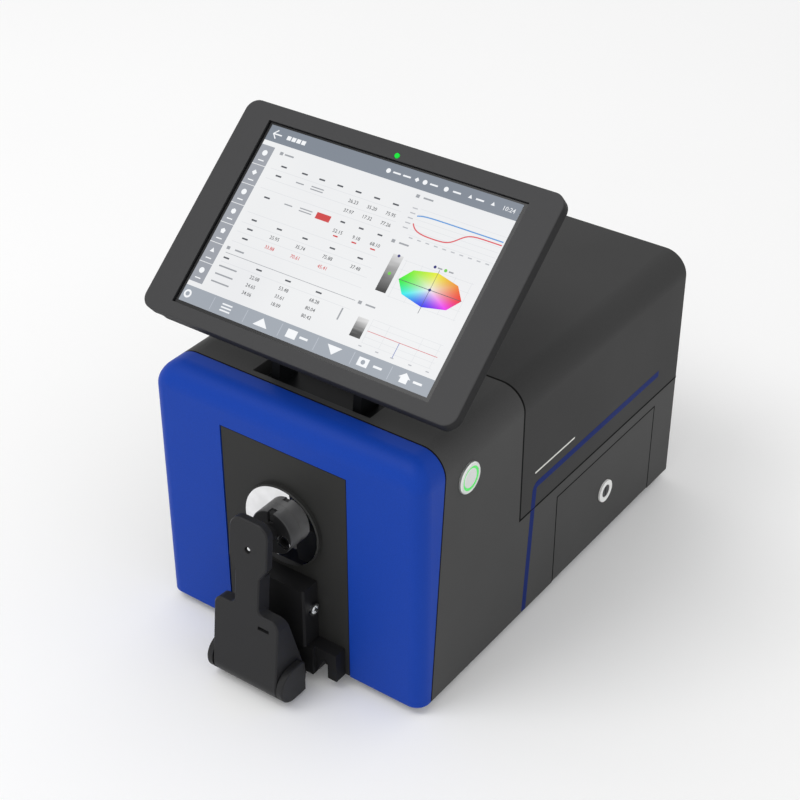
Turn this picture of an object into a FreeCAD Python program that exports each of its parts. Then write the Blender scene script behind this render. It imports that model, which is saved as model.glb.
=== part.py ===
import FreeCAD, Part
import math
import os

V = FreeCAD.Vector

# Depths count back from the front panel, heights up from the casing's lower edge, in millimetres.

# Casing
body_width = 240.0
body_height = 210.0
body_depth = 366.0
corner_radius = 20.0
wall = 3.0
floor_thick = 3.0
foot_height = 8.0
foot_radius = 10.0
foot_inset = 20.0
foot_front_gap = 10.0
foot_rear_gap = 30.0
screw_gap = 20.0
screw_radius = 3.0
screw_head = 1.5
foot_chamfer = 1.5
seam = 0.9
fit = 0.3
half = body_width / 2
inner = half - wall

# Front panel, rolled wide on top and tighter at the sides, and the strip that fills its middle
panel_depth = 28.0
panel_lean = 15.1
roll_top = 18.0
roll_side = 11.0
strip_width = 113.0
strip_drop = 30.0
strip_inset = 0.5
strip_lap = 6.0
strip_flange = 2.5
tongue_overlap = 8.0
tongue_thick = 2.2

# Rear lid, its light seal and its two hinges
lid_front = 125.2
axis_lift = 23.0
seal_width = 3.0
seal_depth = 4.0
lid_hinge_out = 4.0
lid_hinge_x = 75.0
lid_hinge_length = 30.0
lid_hinge_gap = 0.5
lid_knuckle = 3.6
lid_pin = 1.8
leaf_height = 20.0
leaf_thick = 2.0
bumper_length = 9.0
bumper_inset = 18.0

# Display, drawn flat around the middle of its screen and then tilted
screen_width = 222.0
screen_height = 150.2
border_side = 24.2
border_top = 12.65
border_bottom = 10.9
display_corner = 9.8
display_edge_round = 0.7
bezel_thick = 5.0
screen_recess = 2.0
panel_glass = 2.5
panel_lap = 0.7
rim_depth = 5.4
bulge_depth = 11.0
bulge_inset = 8.0
bulge_inset_low = 0.8
cover_wall = 2.5
cover_round = 3.0
rim_round = 1.5
bulge_corner = 6.0
display_tilt = 39.9
display_shift = 1.1
display_back = 77.4
display_rise = 91.7
status_radius = 1.9
status_above = 3.4
board_width = 140.0
board_height = 80.0
board_thick = 1.6
boss_radius = 4.0
boss_height = 4.5

# Tilt hinge of the display, in a pocket of the housing's top
pocket_width = 104.0
pocket_front = 34.0
pocket_length = 42.0
pocket_depth = 12.0
tilt_back = 50.0
tilt_rise = 16.0
tilt_barrel = 8.0
tilt_shaft = 4.0
tilt_arm_width = 63.0
tilt_ear_gap = 1.2
tilt_ear_thick = 7.0
tilt_base_thick = 3.0
tilt_base_margin = 4.0
tilt_ear_foot = 11.2
tilt_plate_thick = 4.0
tilt_plate_length = 46.0

# Measuring port
port_drop = 93.0
port_radius = 12.7
plate_radius = 32.5
plate_thick = 1.0
ring_radius = 33.4
ring_depth = 3.5
ring_bore = 14.0

# Integrating sphere and lamp
sphere_radius = 50.0
sphere_back = 66.0
sphere_block = 60.0
sphere_reach = 54.0
sphere_face = 32.0
nose_radius = 18.0
collar_radius = 20.0
collar_out = 2.0
flange_radius = 66.0
flange_thick = 4.0
cradle_width = 72.0
cradle_thick = 18.0
cradle_foot = 4.0
lamp_length = 42.0
lamp_depth = 25.0
lamp_height = 34.0
lamp_snout = 10.0
lamp_fins = 5
lamp_fin_height = 10.0

# Sample holder: fixed base
base_half = 52.0
base_leg = 8.0
base_depth = 10.5
base_height = 25.0
base_notch = 16.0
upright_half = 28.0
upright_depth = 16.0
upright_drop = 40.0
web_half = 33.0
web_depth = 14.0
pivot_out = 39.0
pivot_height = 10.0
pivot_pin = 4.0
lug_inner = 8.0
lug_outer = 21.0
lug_radius = 7.5
coil_wire = 1.6
stop_pin_radius = 5.0
stop_pin_hole = 3.4
stop_pin_out = 3.0
stop_pin_back = 7.0
stop_pin_drop = 20.5

# Sample holder: swinging arm, drawn upright around its pivot and then leaned
arm_lean = 6.5
arm_low = -5.5
arm_over = 15.0
head_length = 34.5
head_taper = 10.3
neck_length = 29.5
block_half = 29.5
block_skin = 4.0
block_cheek = 7.0
block_deep = 37.0
block_shallow = 10.0
block_round = 7.0
neck_half = 11.0
neck_deep = 12.5
head_half = 17.2
head_deep = 6.5
head_round = 10.0
head_blend = 5.0
arm_edge = 1.0
slot_width = 10.0
slot_height = 3.0
slot_depth = 2.5
slot_middle = 16.5
slot_drop = 10.5
cap_radius = 14.3
cap_back = 13.5
cap_width = 6.0
cap_groove = 0.8
cap_corner = 4.0
cap_edge = 1.2

# Sample holder: pad
pad_radius = 18.0
pad_thick = 10.7
pad_chamfer = 1.0
pad_lift = 1.0
pad_notch = 5.0
pad_notch_low = 9.0
hub_radius = 5.6
bush_length = 3.1
hub_bore = 4.2
stem_recess = 3.0
stem_radius = 2.4
stem_lift = 1.0
pad_travel = 3.0
bush_radius = 6.0
eyelet_radius = 5.6
eyelet_hole = 4.2
eyelet_depth = 5.0
eyelet_x = 11.2
eyelet_drop = 3.7

# Power switch on the right side
switch_back = 54.9
switch_drop = 33.2
switch_flange = 12.0
switch_flange_out = 2.2
switch_barrel = 10.4
switch_length = 22.0
light_outer = 9.4
light_inner = 7.9
light_seat = 2.0
cap_face = 7.6
cap_out = 2.0
cap_length = 14.0
nut_flats = 26.0
nut_thick = 4.0

# Accessory drawer on the right side
drawer_length = 153.0
drawer_rear_gap = 34.0
drawer_drop = 10.0
tray_margin = 7.0
tray_wall = 2.5
tray_low = 8.0
tray_drop = 14.0
tray_reach = 95.0
runner_height = 17.0
runner_thick = 3.5
runner_foot = 12.0
lock_flange = 9.6
lock_lift = 1.85
lock_flange_out = 1.5
lock_sleeve_radius = 8.0
lock_core_radius = 5.3
lock_length = 14.0
lock_slot = 1.2
cam_thick = 3.0
cam_reach = 14.0
cam_half = 4.0
tile_radius = 30.0
tile_height = 14.0
tile_lip = 5.0
trap_radius = 24.0
trap_height = 40.0
trap_wall = 3.0

# Electronics on the floor, optics under the lid, and rear connections
post_size = 9.0
post_drop = 31.0
pcb_front = 130.0
pcb_rear_gap = 10.0
pcb_width = 104.0
pcb_gap = 15.0
standoff_radius = 3.0
supply_width = 72.0
supply_length = 85.0
supply_height = 46.0
supply_gap = 31.0
sheet = 2.0
box_width = 120.0
box_headroom = 33.0
box_gap = 18.0
tube_radius = 15.0
tube_length = 27.0
lens_thick = 4.0
stage_middle = 187.0
stage_width = 60.0
stage_length = 44.0
stage_gap = 20.0
stage_plate = 6.0
stage_block = 34.0
stage_top = 38.0
cell_well = 13.0
cell_floor = 6.0
beam_radius = 5.0
io_left = -106.0
io_width = 86.0
io_low = 12.0
io_height = 36.0
io_lap = 4.0
inlet_width = 28.0
inlet_height = 21.0
inlet_depth = 20.0
inlet_recess = 14.0
inlet_pin = 9.0
data_width = 13.0
data_height = 12.0
data_depth = 16.0
data_wall = 1.8
data_count = 2
data_pitch = 20.0
vent_count = 9
vent_pitch = 8.0
vent_width = 3.0
vent_height = 40.0

# The part's origin lies on the floor under the middle of its longest reach.
holder_reach = pivot_out + cap_radius
rear_reach = body_depth + lid_hinge_out + lid_knuckle
front_y = (holder_reach - rear_reach) / 2
port_height = body_height - port_drop
lid_base = port_height - axis_lift
strip_height = body_height - strip_drop
switch_height = body_height - switch_drop
display_height = body_height + display_rise
tilt_height = body_height + tilt_rise
strip_half = strip_width / 2
drawer_rear_edge = body_depth - drawer_rear_gap
drawer_front_edge = drawer_rear_edge - drawer_length
drawer_top = lid_base - drawer_drop
tiny = 0.001
X = V(1, 0, 0)
Y = V(0, 1, 0)
Z = V(0, 0, 1)


def box(x0, x1, y0, y1, z0, z1):
    """Block between three pairs of limits."""
    return Part.makeBox(x1 - x0, y1 - y0, z1 - z0, V(x0, y0, z0))


def rod_x(radius, y, z, x0, x1):
    return Part.makeCylinder(radius, x1 - x0, V(x0, y, z), X)


def rod_y(radius, x, z, y0, y1):
    return Part.makeCylinder(radius, y1 - y0, V(x, y0, z), Y)


def rod_z(radius, x, y, z0, z1):
    return Part.makeCylinder(radius, z1 - z0, V(x, y, z0), Z)


def prism(points, way):
    """Solid swept from a closed outline."""
    return Part.Face(Part.makePolygon(points + points[:1])).extrude(way)


def straight_edges(shape, axis, wanted=None):
    """Straight edges parallel to an axis, all of them or those whose middle is wanted."""
    found = []
    for edge in shape.Edges:
        if not isinstance(edge.Curve, Part.Line):
            continue
        if abs(abs(edge.tangentAt(edge.FirstParameter).dot(axis)) - 1) > tiny:
            continue
        if wanted is None or wanted(edge.CenterOfMass):
            found.append(edge)
    return found


def soft_box(x0, x1, y0, y1, z0, z1, axis, radius, wanted=None):
    """Block with its edges along one axis rounded."""
    block = box(x0, x1, y0, y1, z0, z1)
    return block.makeFillet(radius, straight_edges(block, axis, wanted))


def casing_block(inset, y0, y1, z0=0.0):
    """The casing's section, moved in from the outside by inset, between two depths."""
    side = half - inset
    top = body_height - inset
    radius = corner_radius - inset
    bow = radius * math.sqrt(0.5)
    low_left = V(-side, y0, z0)
    low_right = V(side, y0, z0)
    right_end = V(side, y0, top - radius)
    right_start = V(side - radius, y0, top)
    left_start = V(radius - side, y0, top)
    left_end = V(-side, y0, top - radius)
    right_mid = V(side - radius + bow, y0, top - radius + bow)
    left_mid = V(radius - side - bow, y0, top - radius + bow)
    edges = [
        Part.LineSegment(low_left, low_right).toShape(),
        Part.LineSegment(low_right, right_end).toShape(),
        Part.Arc(right_end, right_mid, right_start).toShape(),
        Part.LineSegment(right_start, left_start).toShape(),
        Part.Arc(left_start, left_mid, left_end).toShape(),
        Part.LineSegment(left_end, low_left).toShape(),
    ]
    return Part.Face(Part.Wire(edges)).extrude(V(0, y1 - y0, 0))


def rolled_block(inset, y1):
    """The casing's section with its front edge rolled over, wide on top and tighter at the sides."""
    block = casing_block(inset, inset, y1)
    rolls = []
    for number, edge in enumerate(block.Edges, 1):
        ends = [vertex.Point for vertex in edge.Vertexes]
        if max(abs(end.y - inset) for end in ends) > tiny:
            continue
        if max(end.z for end in ends) < tiny:
            continue
        on_side = [abs(end.x) > half - inset - tiny for end in ends]
        radii = [(roll_side if side else roll_top) - inset for side in on_side]
        rolls.append((number, radii[0], radii[1]))
    drawing = FreeCAD.newDocument("roll")
    blank = drawing.addObject("Part::Feature", "blank")
    blank.Shape = block
    rounded = drawing.addObject("Part::Fillet", "rounded")
    rounded.Base = blank
    rounded.Edges = rolls
    drawing.recompute()
    result = rounded.Shape.copy()
    FreeCAD.closeDocument(drawing.Name)
    return result


def beyond_lean(gap, reach):
    """All that lies behind the panel's leaning rear edge moved back by gap, or before it if reach is negative."""
    high = panel_depth + gap
    low = high - panel_lean * (body_height + 2 * wall) / body_height
    step = panel_lean * wall / body_height
    points = [(low + step, -wall), (high + step, body_height + wall), (high + reach, body_height + wall),
              (high + reach, -wall)]
    return prism([V(-body_width, y, z) for y, z in points], V(2 * body_width, 0, 0))


def turned(profile, centre_z):
    """Solid of revolution about the port's axis, from outline edges in the plane of depth and radius."""
    face = Part.Face(Part.Wire(profile))
    face.translate(V(0, 0, centre_z))
    return face.revolve(V(0, 0, centre_z), Y, 360)


def chain(points):
    """Straight edges through points given as radius and depth."""
    corners = [V(0, depth, radius) for radius, depth in points]
    return [Part.LineSegment(a, b).toShape() for a, b in zip(corners, corners[1:])]


def tilted(shape, shift=-display_shift):
    """Move a piece of the display from its flat drawing to its place above the casing, shifted sideways."""
    shape.rotate(V(0, 0, 0), X, display_tilt)
    shape.translate(V(shift, display_back, display_height))
    return shape


def leaned(shape):
    """Move a piece of the arm from its upright drawing to its place on the pivot."""
    shape.rotate(V(0, 0, 0), X, -arm_lean)
    shape.translate(V(0, -pivot_out, pivot_height))
    return shape


def keep(node, *shapes):
    """Move solids from the casing's datum to the part's origin and write them as one node."""
    solids = []
    for shape in shapes:
        solids.extend(shape.removeSplitter().Solids)
    whole = solids[0] if len(solids) == 1 else Part.makeCompound(solids)
    whole.translate(V(0, front_y, foot_height))
    whole.exportStep("parts/" + node + ".step")
    print(node, len(solids), whole.isValid())


os.makedirs("parts", exist_ok=True)

# Front panel: a rolled shell, open at the back, below and in the middle
panel = rolled_block(0, panel_depth)
panel = panel.cut(rolled_block(wall, panel_depth + wall))
panel = panel.cut(beyond_lean(0, body_depth))
panel = panel.cut(box(-strip_half, strip_half, -wall, wall + tiny, -wall, strip_height))
keep("front_panel", panel)

# Strip: a plate in the panel's opening with a wider flange behind the panel
strip_back = wall + strip_flange
strip = box(seam - strip_half, strip_half - seam, strip_inset, wall, 0, strip_height - seam)
strip = strip.fuse(box(-strip_half - strip_lap, strip_half + strip_lap,
                       wall, strip_back, 0, strip_height + strip_lap))
strip = strip.cut(rod_y(nose_radius + fit, 0, port_height, 0, strip_back + wall))
keep("aperture_strip", strip)

# Main housing: an L-shaped shell with a bulkhead and a deck under the lid
housing_front = panel_depth + seam
deck = lid_base - wall
bulkhead = lid_front - wall
rear_inside = body_depth - wall
post_height = deck - post_drop
lean_foot = panel_depth - panel_lean
housing = casing_block(0, lean_foot, body_depth)
housing = housing.cut(beyond_lean(seam, -body_depth))
housing = housing.cut(box(-body_width, body_width, lid_front, body_depth + wall, lid_base,
                          body_height + wall))
housing = housing.cut(casing_block(wall, lean_foot - wall, bulkhead, -wall))
housing = housing.cut(box(-inner, inner, lean_foot - wall, rear_inside, -wall, deck))
tongue_front = roll_side + fit
tongue_rear = housing_front + tongue_overlap
tongue_low = floor_thick + seam
tongue = casing_block(wall, tongue_front, tongue_rear, tongue_low)
tongue = tongue.cut(casing_block(wall + tongue_thick, tongue_front - wall, tongue_rear + wall, -wall))
tongue = tongue.cut(beyond_lean(-tongue_overlap, -body_depth))
housing = housing.fuse(tongue)
front_post = tongue_rear + wall
rear_post = rear_inside - wall - post_size
for side in (-1, 1):
    for post in (front_post, rear_post):
        x0, x1 = sorted((side * (inner - post_size), side * inner))
        housing = housing.fuse(box(x0, x1, post, post + post_size, floor_thick, post_height))
pocket_half = pocket_width / 2
pocket_floor = body_height - pocket_depth
pocket_rear = pocket_front + pocket_length
housing = housing.fuse(box(-pocket_half - wall, pocket_half + wall, pocket_front - wall, pocket_rear + wall,
                           pocket_floor - wall, body_height - wall))
housing = housing.cut(box(-pocket_half, pocket_half, pocket_front, pocket_rear, pocket_floor,
                          body_height + wall))
housing = housing.cut(box(inner - tiny, half + wall, drawer_front_edge, drawer_rear_edge, -wall, drawer_top))
housing = housing.cut(rod_x(switch_barrel, switch_back, switch_height, inner - wall, half + wall))
housing = housing.cut(rod_y(collar_radius + fit, 0, port_height, bulkhead - wall, lid_front + wall))
io_right = io_left + io_width
io_top = io_low + io_height
housing = housing.cut(box(io_left, io_right, rear_inside - wall, body_depth + wall, io_low, io_top))
vent_start = half / 2 - vent_pitch * (vent_count - 1) / 2
for number in range(vent_count):
    middle = vent_start + number * vent_pitch
    housing = housing.cut(box(middle - vent_width / 2, middle + vent_width / 2, rear_inside - wall,
                              body_depth + wall, io_low, io_low + vent_height))
keep("main_housing", housing)

# Floor, feet and screws
floor_plate = soft_box(fit - inner, inner - fit, strip_back + fit, rear_inside - fit, 0, floor_thick, Z,
                       roll_side + fit, lambda middle: middle.y < panel_depth)
keep("base_plate", floor_plate)
feet = []
screws = []
foot_x = inner - foot_inset
foot_depths = (panel_depth + foot_front_gap, body_depth - foot_rear_gap)
for side in (-1, 1):
    for depth in foot_depths:
        foot = rod_z(foot_radius, side * foot_x, depth, -foot_height, 0)
        low_rim = [edge for edge in foot.Edges if abs(edge.CenterOfMass.z + foot_height) < tiny]
        feet.append(foot.makeChamfer(foot_chamfer, low_rim[:1]))
        screws.append(rod_z(screw_radius, side * (inner - post_size / 2), depth + screw_gap, -screw_head, 0))
keep("rubber_feet", *feet)
keep("base_screws", *screws)

# Lid: a shell, open below and towards the bulkhead
lid = casing_block(0, lid_front + seam, body_depth, lid_base + seam)
lid = lid.cut(casing_block(wall, lid_front - wall, rear_inside, lid_base - wall))
keep("rear_lid", lid)
seal_inset = wall + fit
seal = casing_block(seal_inset, lid_front, lid_front + seal_depth, lid_base)
seal = seal.cut(casing_block(seal_inset + seal_width, lid_front - wall, lid_front + seal_depth + wall,
                             lid_base - wall))
keep("lid_seal", seal)
bumpers = []
for side in (-1, 1):
    for depth in (lid_front + bumper_inset, body_depth - bumper_inset):
        x0, x1 = sorted((side * (inner + fit), side * (half - fit)))
        bumpers.append(box(x0, x1, depth, depth + bumper_length, lid_base, lid_base + seam))
keep("lid_bumpers", *bumpers)

# Lid hinges: two outer knuckles on the housing, one between them on the lid
lid_axis = body_depth + lid_hinge_out
third = lid_hinge_length / 3
brackets = []
leaves = []
pins = []
for side in (-1, 1):
    start = side * lid_hinge_x - lid_hinge_length / 2
    end = start + lid_hinge_length
    low_leaf = lid_base - lid_knuckle
    bracket = box(start, end, body_depth, body_depth + leaf_thick, low_leaf - leaf_height, low_leaf)
    for x0 in (start, end - third + lid_hinge_gap):
        x1 = x0 + third - lid_hinge_gap
        bracket = bracket.fuse(box(x0, x1, body_depth, lid_axis, low_leaf - leaf_thick, lid_base))
        bracket = bracket.fuse(rod_x(lid_knuckle, lid_axis, lid_base, x0, x1))
    bracket = bracket.cut(rod_x(lid_pin, lid_axis, lid_base, start, end))
    brackets.append(bracket)
    high_leaf = lid_base + lid_knuckle + seam
    mid_start = start + third + lid_hinge_gap
    mid_end = end - third - lid_hinge_gap
    leaf = box(start, end, body_depth, body_depth + leaf_thick, high_leaf, high_leaf + leaf_height)
    leaf = leaf.fuse(box(mid_start, mid_end, body_depth + fit, lid_axis, lid_base + seam,
                         high_leaf + leaf_thick))
    leaf = leaf.fuse(rod_x(lid_knuckle, lid_axis, lid_base, mid_start, mid_end))
    leaf = leaf.cut(rod_x(lid_pin + fit, lid_axis, lid_base, start, end))
    leaves.append(leaf)
    pins.append(rod_x(lid_pin, lid_axis, lid_base, start, end))
keep("lid_hinge_brackets", *brackets)
keep("lid_hinge_leaves", *leaves)
keep("lid_hinge_pins", *pins)

# Display bezel, with a rebate behind its window
screen_half_w = screen_width / 2
screen_half_h = screen_height / 2
out_side = screen_half_w + border_side
out_top = screen_half_h + border_top
out_low = -screen_half_h - border_bottom
bezel = soft_box(-out_side, out_side, out_low, out_top, -bezel_thick, 0, Z, display_corner)
bezel = bezel.makeFillet(display_edge_round,
                         [edge for edge in bezel.Edges if abs(edge.CenterOfMass.z) < tiny])
bezel = bezel.cut(box(-screen_half_w, screen_half_w, -screen_half_h, screen_half_h, -bezel_thick, 1))
glass_w = screen_half_w + panel_lap
glass_h = screen_half_h + panel_lap
bezel = bezel.cut(box(-glass_w - fit, glass_w + fit, -glass_h - fit, glass_h + fit,
                      -bezel_thick - 1, -screen_recess))
status_level = screen_half_h + status_above
bezel = bezel.cut(rod_z(status_radius + fit, display_shift, status_level, -bezel_thick - 1, 1))
keep("display_bezel", tilted(bezel))
glass_back = -screen_recess - panel_glass
keep("display_panel", tilted(box(-glass_w, glass_w, -glass_h, glass_h, glass_back, -screen_recess)))
lens = rod_z(status_radius, display_shift, status_level, -bezel_thick, fit)
lens = lens.fuse(rod_z(status_radius + 1, display_shift, status_level, -bezel_thick - 1, -bezel_thick))
keep("status_light", tilted(lens))

# Display cover: a rim of the bezel's outline with a raised middle, hollow, with bosses for the board
rim_back = -bezel_thick - rim_depth
bulge_back = rim_back - bulge_depth
bulge_side = out_side - bulge_inset
bulge_top = out_top - bulge_inset
bulge_low = out_low + bulge_inset_low
rim = soft_box(-out_side, out_side, out_low, out_top, rim_back, -bezel_thick, Z, display_corner)
rim = rim.makeFillet(rim_round, [edge for edge in rim.Edges if abs(edge.CenterOfMass.z - rim_back) < tiny])
bulge = soft_box(-bulge_side, bulge_side, bulge_low, bulge_top, bulge_back, rim_back, Z, bulge_corner)
bulge = bulge.makeFillet(cover_round,
                         [edge for edge in bulge.Edges if abs(edge.CenterOfMass.z - bulge_back) < tiny])
cover = rim.fuse(bulge)
cover = cover.cut(soft_box(cover_wall - out_side, out_side - cover_wall, out_low + cover_wall,
                           out_top - cover_wall, rim_back + cover_wall, 0, Z, display_corner - cover_wall))
boss_floor = bulge_back + cover_wall
cover = cover.cut(soft_box(cover_wall - bulge_side, bulge_side - cover_wall, bulge_low + cover_wall,
                           bulge_top - cover_wall, boss_floor, 0, Z, bulge_corner - cover_wall))
for across in (-1, 1):
    for up in (-1, 1):
        cover = cover.fuse(rod_z(boss_radius, across * (board_width / 2 - boss_radius),
                                 up * (board_height / 2 - boss_radius), boss_floor, boss_floor + boss_height))
keep("display_cover", tilted(cover))
board_low = boss_floor + boss_height
board = box(-board_width / 2, board_width / 2, -board_height / 2, board_height / 2,
            board_low, board_low + board_thick)
chip = board_height / 4
board = board.fuse(box(-chip / 2, chip / 2, -chip / 2, chip / 2, board_low + board_thick,
                       board_low + 2 * board_thick))
keep("display_board", tilted(board))

# Tilt hinge: fixed base with two ears and a shaft, and an arm on the display between the ears
arm_half = tilt_arm_width / 2
ear_in = arm_half + tilt_ear_gap
ear_out = ear_in + tilt_ear_thick
tilt_base = box(tilt_base_margin - pocket_half, pocket_half - tilt_base_margin,
                pocket_front + tilt_base_margin, pocket_rear - tilt_base_margin,
                pocket_floor, pocket_floor + tilt_base_thick)
for side in (-1, 1):
    x0, x1 = sorted((side * ear_in, side * ear_out))
    foot_y0 = tilt_back - tilt_ear_foot
    foot_y1 = tilt_back + tilt_ear_foot
    ear = prism([V(x0, foot_y0, pocket_floor), V(x0, foot_y1, pocket_floor),
                 V(x0, tilt_back + tilt_barrel, tilt_height), V(x0, tilt_back - tilt_barrel, tilt_height)],
                V(x1 - x0, 0, 0))
    tilt_base = tilt_base.fuse(ear).fuse(rod_x(tilt_barrel, tilt_back, tilt_height, x0, x1))
tilt_base = tilt_base.cut(rod_x(tilt_shaft, tilt_back, tilt_height, -ear_out, ear_out))
keep("display_hinge_base", tilt_base)
keep("display_hinge_shaft", rod_x(tilt_shaft, tilt_back, tilt_height, -ear_out, ear_out))
tilt_angle = math.radians(display_tilt)
drop_y = tilt_back - display_back
drop_z = tilt_height - display_height
axis_up = drop_y * math.cos(tilt_angle) + drop_z * math.sin(tilt_angle)
axis_out = drop_z * math.cos(tilt_angle) - drop_y * math.sin(tilt_angle)
plate_low = bulge_low + cover_round
plate_high = plate_low + tilt_plate_length
plate_back = bulge_back - tilt_plate_thick
tilt_arm = prism([V(-arm_half, plate_low, bulge_back), V(-arm_half, plate_high, bulge_back),
                  V(-arm_half, plate_high, plate_back), V(-arm_half, axis_up + 2 * tilt_barrel, plate_back),
                  V(-arm_half, axis_up + tilt_barrel, axis_out),
                  V(-arm_half, axis_up - tilt_barrel, axis_out),
                  V(-arm_half, plate_low, plate_back)], V(2 * arm_half, 0, 0))
tilt_arm = tilt_arm.fuse(rod_x(tilt_barrel, axis_up, axis_out, -arm_half, arm_half))
tilt_arm = tilt_arm.cut(rod_x(tilt_shaft + fit, axis_up, axis_out, -arm_half, arm_half))
keep("display_hinge_arm", tilted(tilt_arm, 0))

# Measuring port: a raised ring on the strip with a polished plate in front of it
ring_face = strip_inset - ring_depth
plate_face = ring_face - plate_thick
ring = rod_y(ring_radius, 0, port_height, ring_face, strip_inset)
ring = ring.cut(rod_y(ring_bore, 0, port_height, ring_face, strip_inset))
keep("aperture_ring", ring)
plate = rod_y(plate_radius, 0, port_height, plate_face, ring_face)
plate = plate.cut(rod_y(port_radius, 0, port_height, plate_face, ring_face))
keep("aperture_plate", plate)

# Integrating sphere in two turned halves that meet at a flange
throat = math.sqrt(sphere_radius ** 2 - port_radius ** 2)
for node, way, port_end, neck in (("sphere_front", -1, strip_inset, nose_radius),
                                  ("sphere_rear", 1, lid_front + collar_out, collar_radius)):
    end_face = sphere_back + way * sphere_reach
    shoulder = end_face - way * (sphere_block - sphere_face)
    flange = sphere_back + way * flange_thick
    start = V(0, sphere_back, sphere_radius)
    mouth = V(0, sphere_back + way * throat, port_radius)
    mid_angle = math.acos(port_radius / sphere_radius) / 2
    middle = V(0, sphere_back + way * sphere_radius * math.sin(mid_angle),
               sphere_radius * math.cos(mid_angle))
    outline = chain([(port_radius, sphere_back + way * throat), (port_radius, port_end), (neck, port_end),
                     (neck, end_face), (sphere_face, end_face), (sphere_block, shoulder),
                     (sphere_block, flange), (flange_radius, flange), (flange_radius, sphere_back),
                     (sphere_radius, sphere_back)])
    outline.append(Part.Arc(start, middle, mouth).toShape())
    keep(node, turned(outline, port_height))

# Saddle under the sphere, on both sides of its flange
cradle_half = cradle_width / 2
saddle_gap = flange_thick + fit
cradle = box(-cradle_half, cradle_half, sphere_back - saddle_gap - cradle_thick,
             sphere_back + saddle_gap + cradle_thick, floor_thick, floor_thick + cradle_foot)
for way in (-1, 1):
    y0, y1 = sorted((sphere_back + way * saddle_gap, sphere_back + way * (saddle_gap + cradle_thick)))
    cradle = cradle.fuse(box(-cradle_half, cradle_half, y0, y1, floor_thick, port_height - sphere_block / 2))
cradle = cradle.cut(rod_y(sphere_block, 0, port_height, 0, body_depth))
keep("sphere_cradle", cradle)

# Lamp on the left of the sphere, with cooling fins on top
lamp_x1 = -flange_radius - fit
lamp_x0 = lamp_x1 - lamp_length
lamp_y1 = sphere_back - flange_thick - fit
lamp_y0 = lamp_y1 - lamp_depth
lamp_low = port_height - lamp_height / 2
lamp_top = port_height + lamp_height / 2
lamp = box(lamp_x0, lamp_x1, lamp_y0, lamp_y1, lamp_low, lamp_top)
for number in range(lamp_fins):
    fin = lamp_x0 + number * (lamp_length - sheet) / (lamp_fins - 1)
    lamp = lamp.fuse(box(fin, fin + sheet, lamp_y0, lamp_y1, lamp_top, lamp_top + lamp_fin_height))
snout = rod_x(lamp_snout, lamp_y1 - lamp_snout - fit, port_height, lamp_x1, -sphere_block / 2)
lamp = lamp.fuse(snout.cut(rod_y(sphere_block, 0, port_height, 0, body_depth)))
keep("lamp_housing", lamp)

# Holder base: a flange with two legs and arched notches, an upright housing and two hinge lugs
leg_in = base_half - base_leg
upright_top = port_height - upright_drop
stop_pin_height = upright_top - stop_pin_drop
notch_top = leg_in - wall
holder = box(-base_half, base_half, -base_depth, strip_inset, 0, base_height)
holder = holder.fuse(box(-web_half, web_half, -web_depth, strip_inset, 0, base_height))
upright = box(-upright_half, upright_half, -upright_depth, strip_inset, base_height, upright_top)
upright = upright.makeChamfer(wall / 2, straight_edges(upright, Z, lambda middle: middle.y < -web_depth))
holder = holder.fuse(upright)
for side in (-1, 1):
    arch = prism([V(side * web_half, -body_depth, -wall), V(side * leg_in, -body_depth, -wall),
                  V(side * leg_in, -body_depth, base_notch - wall),
                  V(side * notch_top, -body_depth, base_notch),
                  V(side * web_half, -body_depth, 0)], V(0, 2 * body_depth, 0))
    holder = holder.cut(arch)
    x0, x1 = sorted((side * lug_inner, side * lug_outer))
    holder = holder.fuse(box(x0, x1, -pivot_out, -web_depth,
                             pivot_height - lug_radius, pivot_height + lug_radius))
    holder = holder.fuse(rod_x(lug_radius, -pivot_out, pivot_height, x0, x1))
holder = holder.cut(rod_x(pivot_pin + fit, -pivot_out, pivot_height, -base_half, base_half))
pin_x0 = upright_half - 2 * stop_pin_out
pin_x1 = upright_half + stop_pin_out
stop_pin = rod_x(stop_pin_radius, -stop_pin_back, stop_pin_height, pin_x0, pin_x1)
holder = holder.cut(stop_pin)
keep("holder_base", holder)
stop_hole = rod_x(stop_pin_hole, -stop_pin_back, stop_pin_height, upright_half, pin_x1)
keep("holder_stop_pin", stop_pin.cut(stop_hole))
coil_in = pivot_pin + fit
coil_out = coil_in + coil_wire
coil_half = lug_inner - fit
coil = rod_x(coil_out, -pivot_out, pivot_height, -coil_half, coil_half)
coil = coil.fuse(box(-coil_half, coil_wire - coil_half, -pivot_out, -web_depth,
                     pivot_height + coil_in, pivot_height + coil_out))
coil = coil.cut(rod_x(coil_in, -pivot_out, pivot_height, -base_half, base_half))
keep("arm_spring", coil)

# Arm: a hollow wedge on a round hinge end, a neck and a rounded head
arm_front = cap_radius
arm_top = port_height + arm_over
arm_head_low = arm_top - head_length
arm_neck_top = arm_head_low - head_taper
arm_shoulder = arm_neck_top - neck_length
slot_level = arm_shoulder - slot_drop
block_back = block_deep - arm_front
block = prism([V(-block_half, -arm_front, 0), V(-block_half, 0, arm_low), V(-block_half, block_back, arm_low),
               V(-block_half, block_shallow - arm_front, arm_shoulder),
               V(-block_half, -arm_front, arm_shoulder)],
              V(2 * block_half, 0, 0))
block = block.fuse(rod_x(cap_radius, 0, 0, -block_half, block_half)).removeSplitter()
block = block.common(soft_box(-block_half, block_half, -block_deep, block_deep, -2 * cap_radius,
                              arm_shoulder, Y, block_round, lambda middle: middle.z > 0))
skin_back = block_skin - arm_front
cheek_in = block_half - block_cheek
block = block.cut(box(-cheek_in, cheek_in, 0, block_deep, -2 * cap_radius, arm_shoulder - 2 * block_round))
block = block.cut(box(-cheek_in, cheek_in, skin_back, tiny, 0, arm_shoulder - 2 * block_round))
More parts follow.
